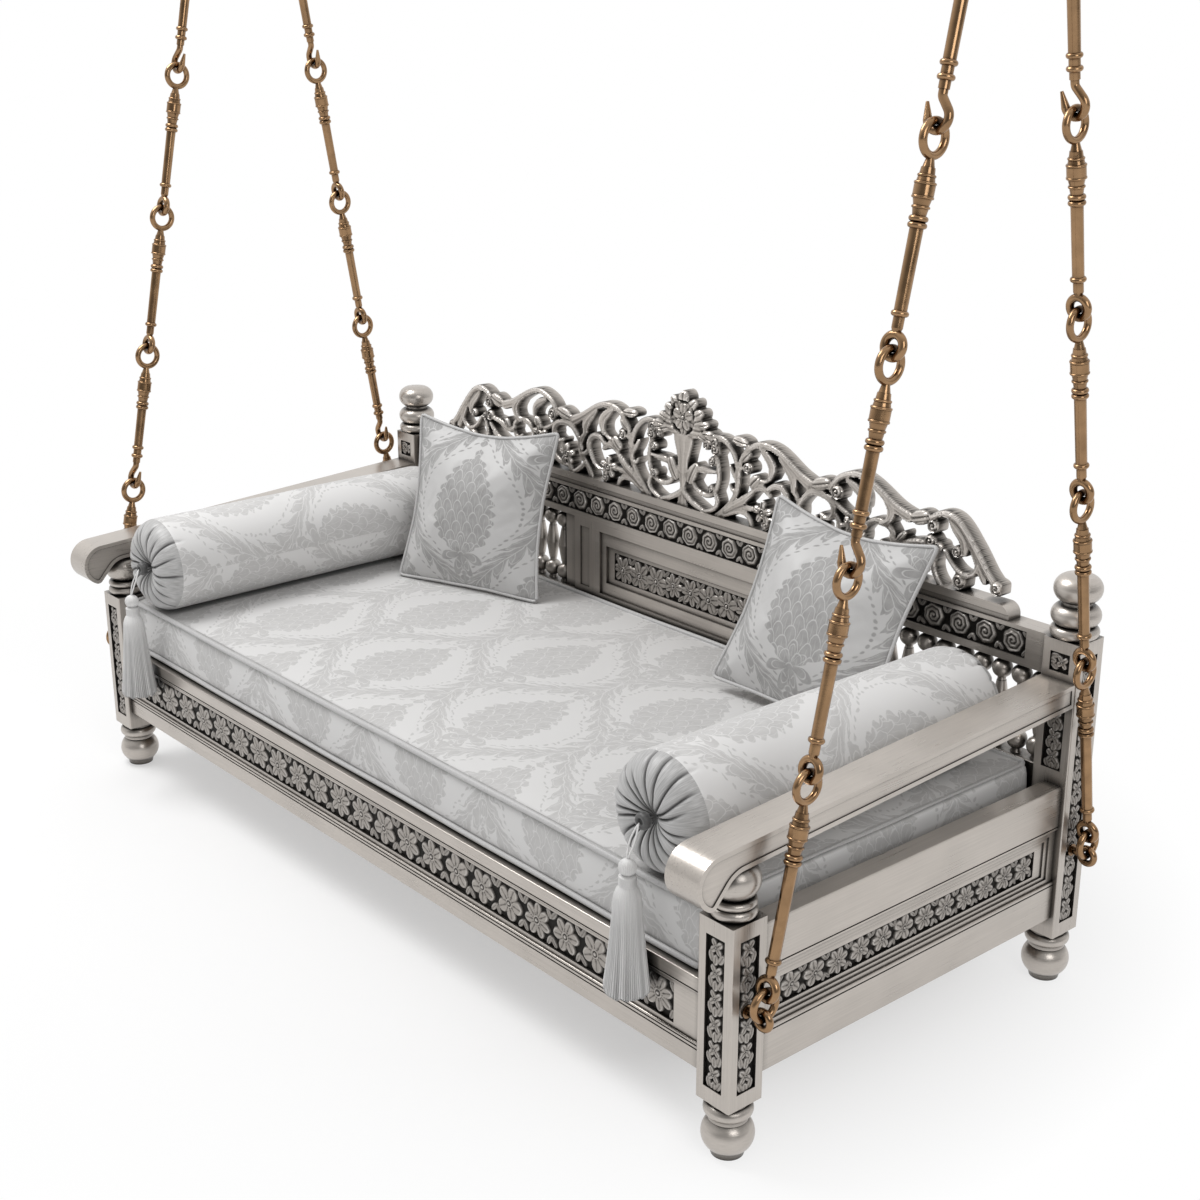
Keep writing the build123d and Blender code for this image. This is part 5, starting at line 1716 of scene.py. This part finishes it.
# ------------------------------------------------------------------ frame and hardware
class Woodwork:
    """Dresses the CAD woodwork and carves its sunk fields."""

    grains = {
        Grain.X: ("front_top_rail", "front_panel", "front_low_rail", "back_frieze_rail", "back_panel", "back_board",
                  "crest_base"),
        Grain.Y: ("armrest", "side_top_rail", "side_panel", "side_low_rail"),
        Grain.Z: ("front_post", "rear_post", "pilaster"),
        Grain.ROUND: ("front_foot", "rear_foot", "finial", "arm_turning", "back_spindles"),
    }

    def dress(self) -> None:
        """Gives each CAD node the finish whose brush marks run along it."""
        for grain, stems in self.grains.items():
            finish = PewterWood(f"pewter_{grain.name.lower()}", grain).material()
            for name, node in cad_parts.items():
                if name.startswith(stems):
                    paint_node(node, finish)
        plain = PlainWood("deck_wood").material()
        for name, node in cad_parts.items():
            if name.startswith(("seat_", "back_low_rail")):
                paint_node(node, plain)

    def fields(self) -> list[CarvedField]:
        """Every sunk field of the frame, in bench millimetres: the wide ones, then the posts' narrow ones.

        Returns:
            The fields.
        """
        right, left, back, front = (1, 0, 0), (-1, 0, 0), (0, 1, 0), (0, -1, 0)
        made = [
            CarvedField("carving_front", (-790, -383, 172), right, 1580, 64, 5.0, Motif.FLOWERS, 3, 1.35),
            CarvedField("carving_back_frieze", (-805, 356, 541), right, 1610, 45, 5.0, Motif.ROSES, 4, 1.35),
            CarvedField("carving_back_panel", (-197, 366, 417), right, 394, 57, 6.5, Motif.BOUQUET, 5, 1.0),
            CarvedField("carving_side_right", (893, -288, 212), back, 576, 45, 6.0, Motif.FLOWERS, 6, 1.25),
            CarvedField("carving_side_left", (-893, 288, 212), front, 576, 45, 6.0, Motif.FLOWERS, 7, 1.25),
        ]
        wide, deep, foot, post_x, face_x, post_y = 36, 4.8, 114, 882, 910, 367
        for sign, side, along in ((1, "right", back), (-1, "left", front)):
            near, far = sign * post_x - wide / 2, sign * post_x + wide / 2
            narrow = (
                ("front_post", (sign * face_x, -post_y - sign * wide / 2, foot), along, 238, 8, 1.05),
                ("rear_post", (sign * face_x, post_y - sign * wide / 2, foot), along, 459, 8, 1.05),
                ("front_face", (near, -395, foot), right, 238, 9, 1.05),
                ("rear_face", (far, 395, foot), left, 459, 10, 1.05),
                ("window", (near, 339, 545), right, 32, 11, 0.9),
                ("under_arm", (near, 339, 382), right, 101, 12, 0.9),
            )
            made += [CarvedField(f"carving_{name}_{side}", corner, line, wide, tall, deep, Motif.GARLAND, seed, step)
                     for name, corner, line, tall, seed, step in narrow]
        return made

    def carve(self, datum: Datum) -> None:
        """Makes the relief in every field.

        Args:
            datum: where the bench stands.
        """
        finish = PewterWood("pewter_carving", Grain.ROUND, light=0.33, gloss=0.33).material()
        for item in self.fields():
            piece = item.build(datum, finish)
            LOG.info("%s: %s", piece.name, item.motif.value)


class Hardware:
    """Dresses the chains, eyes, hangers and ceiling fittings."""

    def dress(self) -> None:
        """Gives each metal node its finish."""
        # The second colour of each metal is its crevice colour: oxide deepened by painted shade.
        brass = Metal("antique_brass", (0.35, 0.215, 0.115), (0.022, 0.012, 0.007), 0.20).material()
        bronze = Metal("bush_bronze", (0.62, 0.38, 0.18), (0.12, 0.07, 0.03), 0.22).material()
        steel = Metal("plated_steel", (0.62, 0.62, 0.61), (0.16, 0.16, 0.16), 0.3).material()
        for name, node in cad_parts.items():
            if name.startswith("hanger_bush"):
                paint_node(node, bronze)
            elif name.startswith("axle"):
                paint_node(node, steel)
            elif name.startswith(("chain_", "eye_bolts", "ceiling_bracket", "hanger_")):
                paint_node(node, brass)


def paint_node(node: bpy.types.Object, finish: bpy.types.Material) -> None:
    """Puts a finish into every material slot of a CAD node.

    Args:
        node: the CAD node.
        finish: its material.
    """
    if not node.material_slots:
        node.data.materials.append(finish)
    for slot in node.material_slots:
        slot.material = finish


# ------------------------------------------------------------------ studio
@dataclass
class Studio:
    """Pale floor, soft light and the camera."""

    datum: Datum
    azimuth: float = 49.38
    elevation: float = 19.12
    camera_at: tuple[float, float, float] = (2.3955, -1.9014, 1.5665)
    lens: float = 54.05
    seat: tuple[float, float, float] = (0.0, 0.0, 0.4)
    shadow_reach: float = 0.72
    shadow_fade: float = 0.55
    shadow_white: float = 0.48

    def stand(self, item: bpy.types.Object, at: tuple[float, float, float], aim: Vector) -> bpy.types.Object:
        """Puts a camera or a lamp at a place in bench metres and turns it along a direction.

        Args:
            item: the camera or lamp.
            at: place in bench metres.
            aim: direction that it looks along.
        Returns:
            The camera or lamp.
        """
        item.location = self.datum.place(np.array(at))
        item.rotation_euler = aim.to_track_quat("-Z", "Y").to_euler()
        return item

    def camera(self) -> None:
        """Sets the camera: it looks along (-sin az cos el, cos az cos el, -sin el)."""
        data = bpy.data.cameras.new("camera")
        data.lens, data.sensor_width = self.lens, 36.0
        data.clip_end = 100.0
        a, e = math.radians(self.azimuth), math.radians(self.elevation)
        aim = Vector((-math.sin(a) * math.cos(e), math.cos(a) * math.cos(e), -math.sin(e)))
        bpy.context.scene.camera = self.stand(put("camera", data), self.camera_at, aim)

    def lamp(self, name: str, at: tuple[float, float, float], size: float, power: float) -> None:
        """Adds a square soft lamp that points at the seat.

        Args:
            name: its name.
            at: place in bench metres.
            size: side of the square.
            power: watts.
        """
        data = bpy.data.lights.new(name, "AREA")
        data.energy, data.size = power, size
        self.stand(put(name, data), at, Vector(np.array(self.seat) - np.array(at)))

    def world(self) -> None:
        """White backdrop for the camera, dimmer on the camera's side in reflections, plain for the rest."""
        world = bpy.data.worlds.new("studio")
        bpy.context.scene.world = world
        tree = Tree(world)
        path = tree.node("ShaderNodeLightPath")
        seen = path["Is Camera Ray"].math("MAXIMUM", path["Is Transmission Ray"])
        shine = path["Is Glossy Ray"]
        way = tree.node("ShaderNodeSeparateXYZ", {}, {0: tree.node("ShaderNodeTexCoord")["Generated"]})
        behind = way[0] * -0.76 + way[1] * 0.65 + way[2] * 0.9
        backdrop = (behind * 0.9 + 0.45).held() * 0.72 + 0.28
        strength = seen + (1.0 - seen) * (shine * backdrop + (1.0 - shine) * 0.50)
        sky = tree.node("ShaderNodeBackground", {}, {"Color": grey(1.0), "Strength": strength})
        tree.node("ShaderNodeOutputWorld", {}, {"Surface": sky[0]})

    def floor(self) -> None:
        """A pale floor just under the feet, white to the camera where no shadow falls.

        The white begins at an oval round the bench that is shorter towards the right, and fades in outwards.
        """
        mesh = bpy.data.meshes.new("floor")
        far, under = 14.0, 0.001
        square = np.array([(-far, -far, -under), (far, -far, -under), (far, far, -under), (-far, far, -under)])
        mesh.from_pydata(self.datum.place(square).tolist(), [], [(0, 1, 2, 3)])
        tree = new_finish("floor_paint")
        paint = tree.node("ShaderNodeBsdfDiffuse", {}, {"Color": grey(0.90)})
        light = tree.node("ShaderNodeEmission", {}, {"Color": grey(1.0), "Strength": 1.0})
        parts = tree.node("ShaderNodeSeparateXYZ", {}, {0: tree.object_place()})
        x = parts[0] * 0.62 + parts[0].math("MAXIMUM", 0.0) * 0.45
        away = x.beside(parts[1] - self.datum.middle_y)
        clear = ((away - self.shadow_reach) / self.shadow_fade).held() * (1 - self.shadow_white) + self.shadow_white
        path = tree.node("ShaderNodeLightPath")
        seen = path["Is Camera Ray"].math("MAXIMUM", path["Is Glossy Ray"])
        share = clear * seen.math("MAXIMUM", path["Is Transmission Ray"])
        both = tree.node("ShaderNodeMixShader", {}, {0: share, 1: paint[0], 2: light[0]})
        tree.node("ShaderNodeOutputMaterial", {}, {"Surface": both[0]})
        mesh.materials.append(tree.owner)
        item = put("floor", mesh)

    def build(self) -> None:
        """Sets the camera, the world, the floor and the lamps."""
        self.camera()
        self.world()
        self.floor()
        self.lamp("key", (-1.7, -1.25, 3.9), 1.9, 114.0)
        self.lamp("fill", (3.4, -1.0, 2.2), 1.6, 26.0)
        bpy.context.scene.view_settings.view_transform = "Standard"


def main() -> None:
    """Builds the swing's pieces in order."""
    logging.basicConfig(level=logging.INFO, format="%(message)s")
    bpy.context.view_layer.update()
    datum = Datum.from_frame()
    Studio(datum).build()
    # The pillows' copy of the damask is darker as painted shade and the rolls' copy lighter as painted light.
    damask = Damask("damask", ground=0.52, figure=0.30).material()
    seat_damask = Damask("damask_seat", ground=0.63, figure=0.44, contrast=0.85, wander=0.030).material()
    roll_damask_lit = Damask("damask_roll_lit", ground=0.72, figure=0.50, contrast=0.85, wander=0.026).material()
    satin = Silk("plain_satin", light=0.56, dark=0.06, lines=(500.0, 60.0)).material()
    piping = Silk("piping_cloth", light=0.56, dark=0.34, lines=(300.0, 900.0)).material()
    silk = Silk("tassel_silk", light=0.92, dark=0.36, lines=(2600.0, 30.0), gloss=0.40).material()
    button_cloth = Silk("button_cloth", light=0.10, dark=0.03, lines=(700.0, 700.0)).material()
    woodwork = Woodwork()
    woodwork.dress()
    woodwork.carve(datum)
    Hardware().dress()
    crest_finish = PewterWood("pewter_crest", Grain.ROUND, light=0.50, gloss=0.33).material()
    crest = Crest().build(crest_finish)
    LOG.info("%s: %d faces", crest.name, len(crest.data.polygons))
    Mattress().build(seat_damask, piping)
    for side in ("left", "right"):
        Bolster(side).build(roll_damask_lit, satin, button_cloth)
        Tassel(side).build(silk)
    Pillow("left", 18.5, 16.0, 0.0).build(damask, piping)
    Pillow("right", 6.0, 25.0, -4.0).build(damask, piping)


if __name__ == "__main__":
    main()
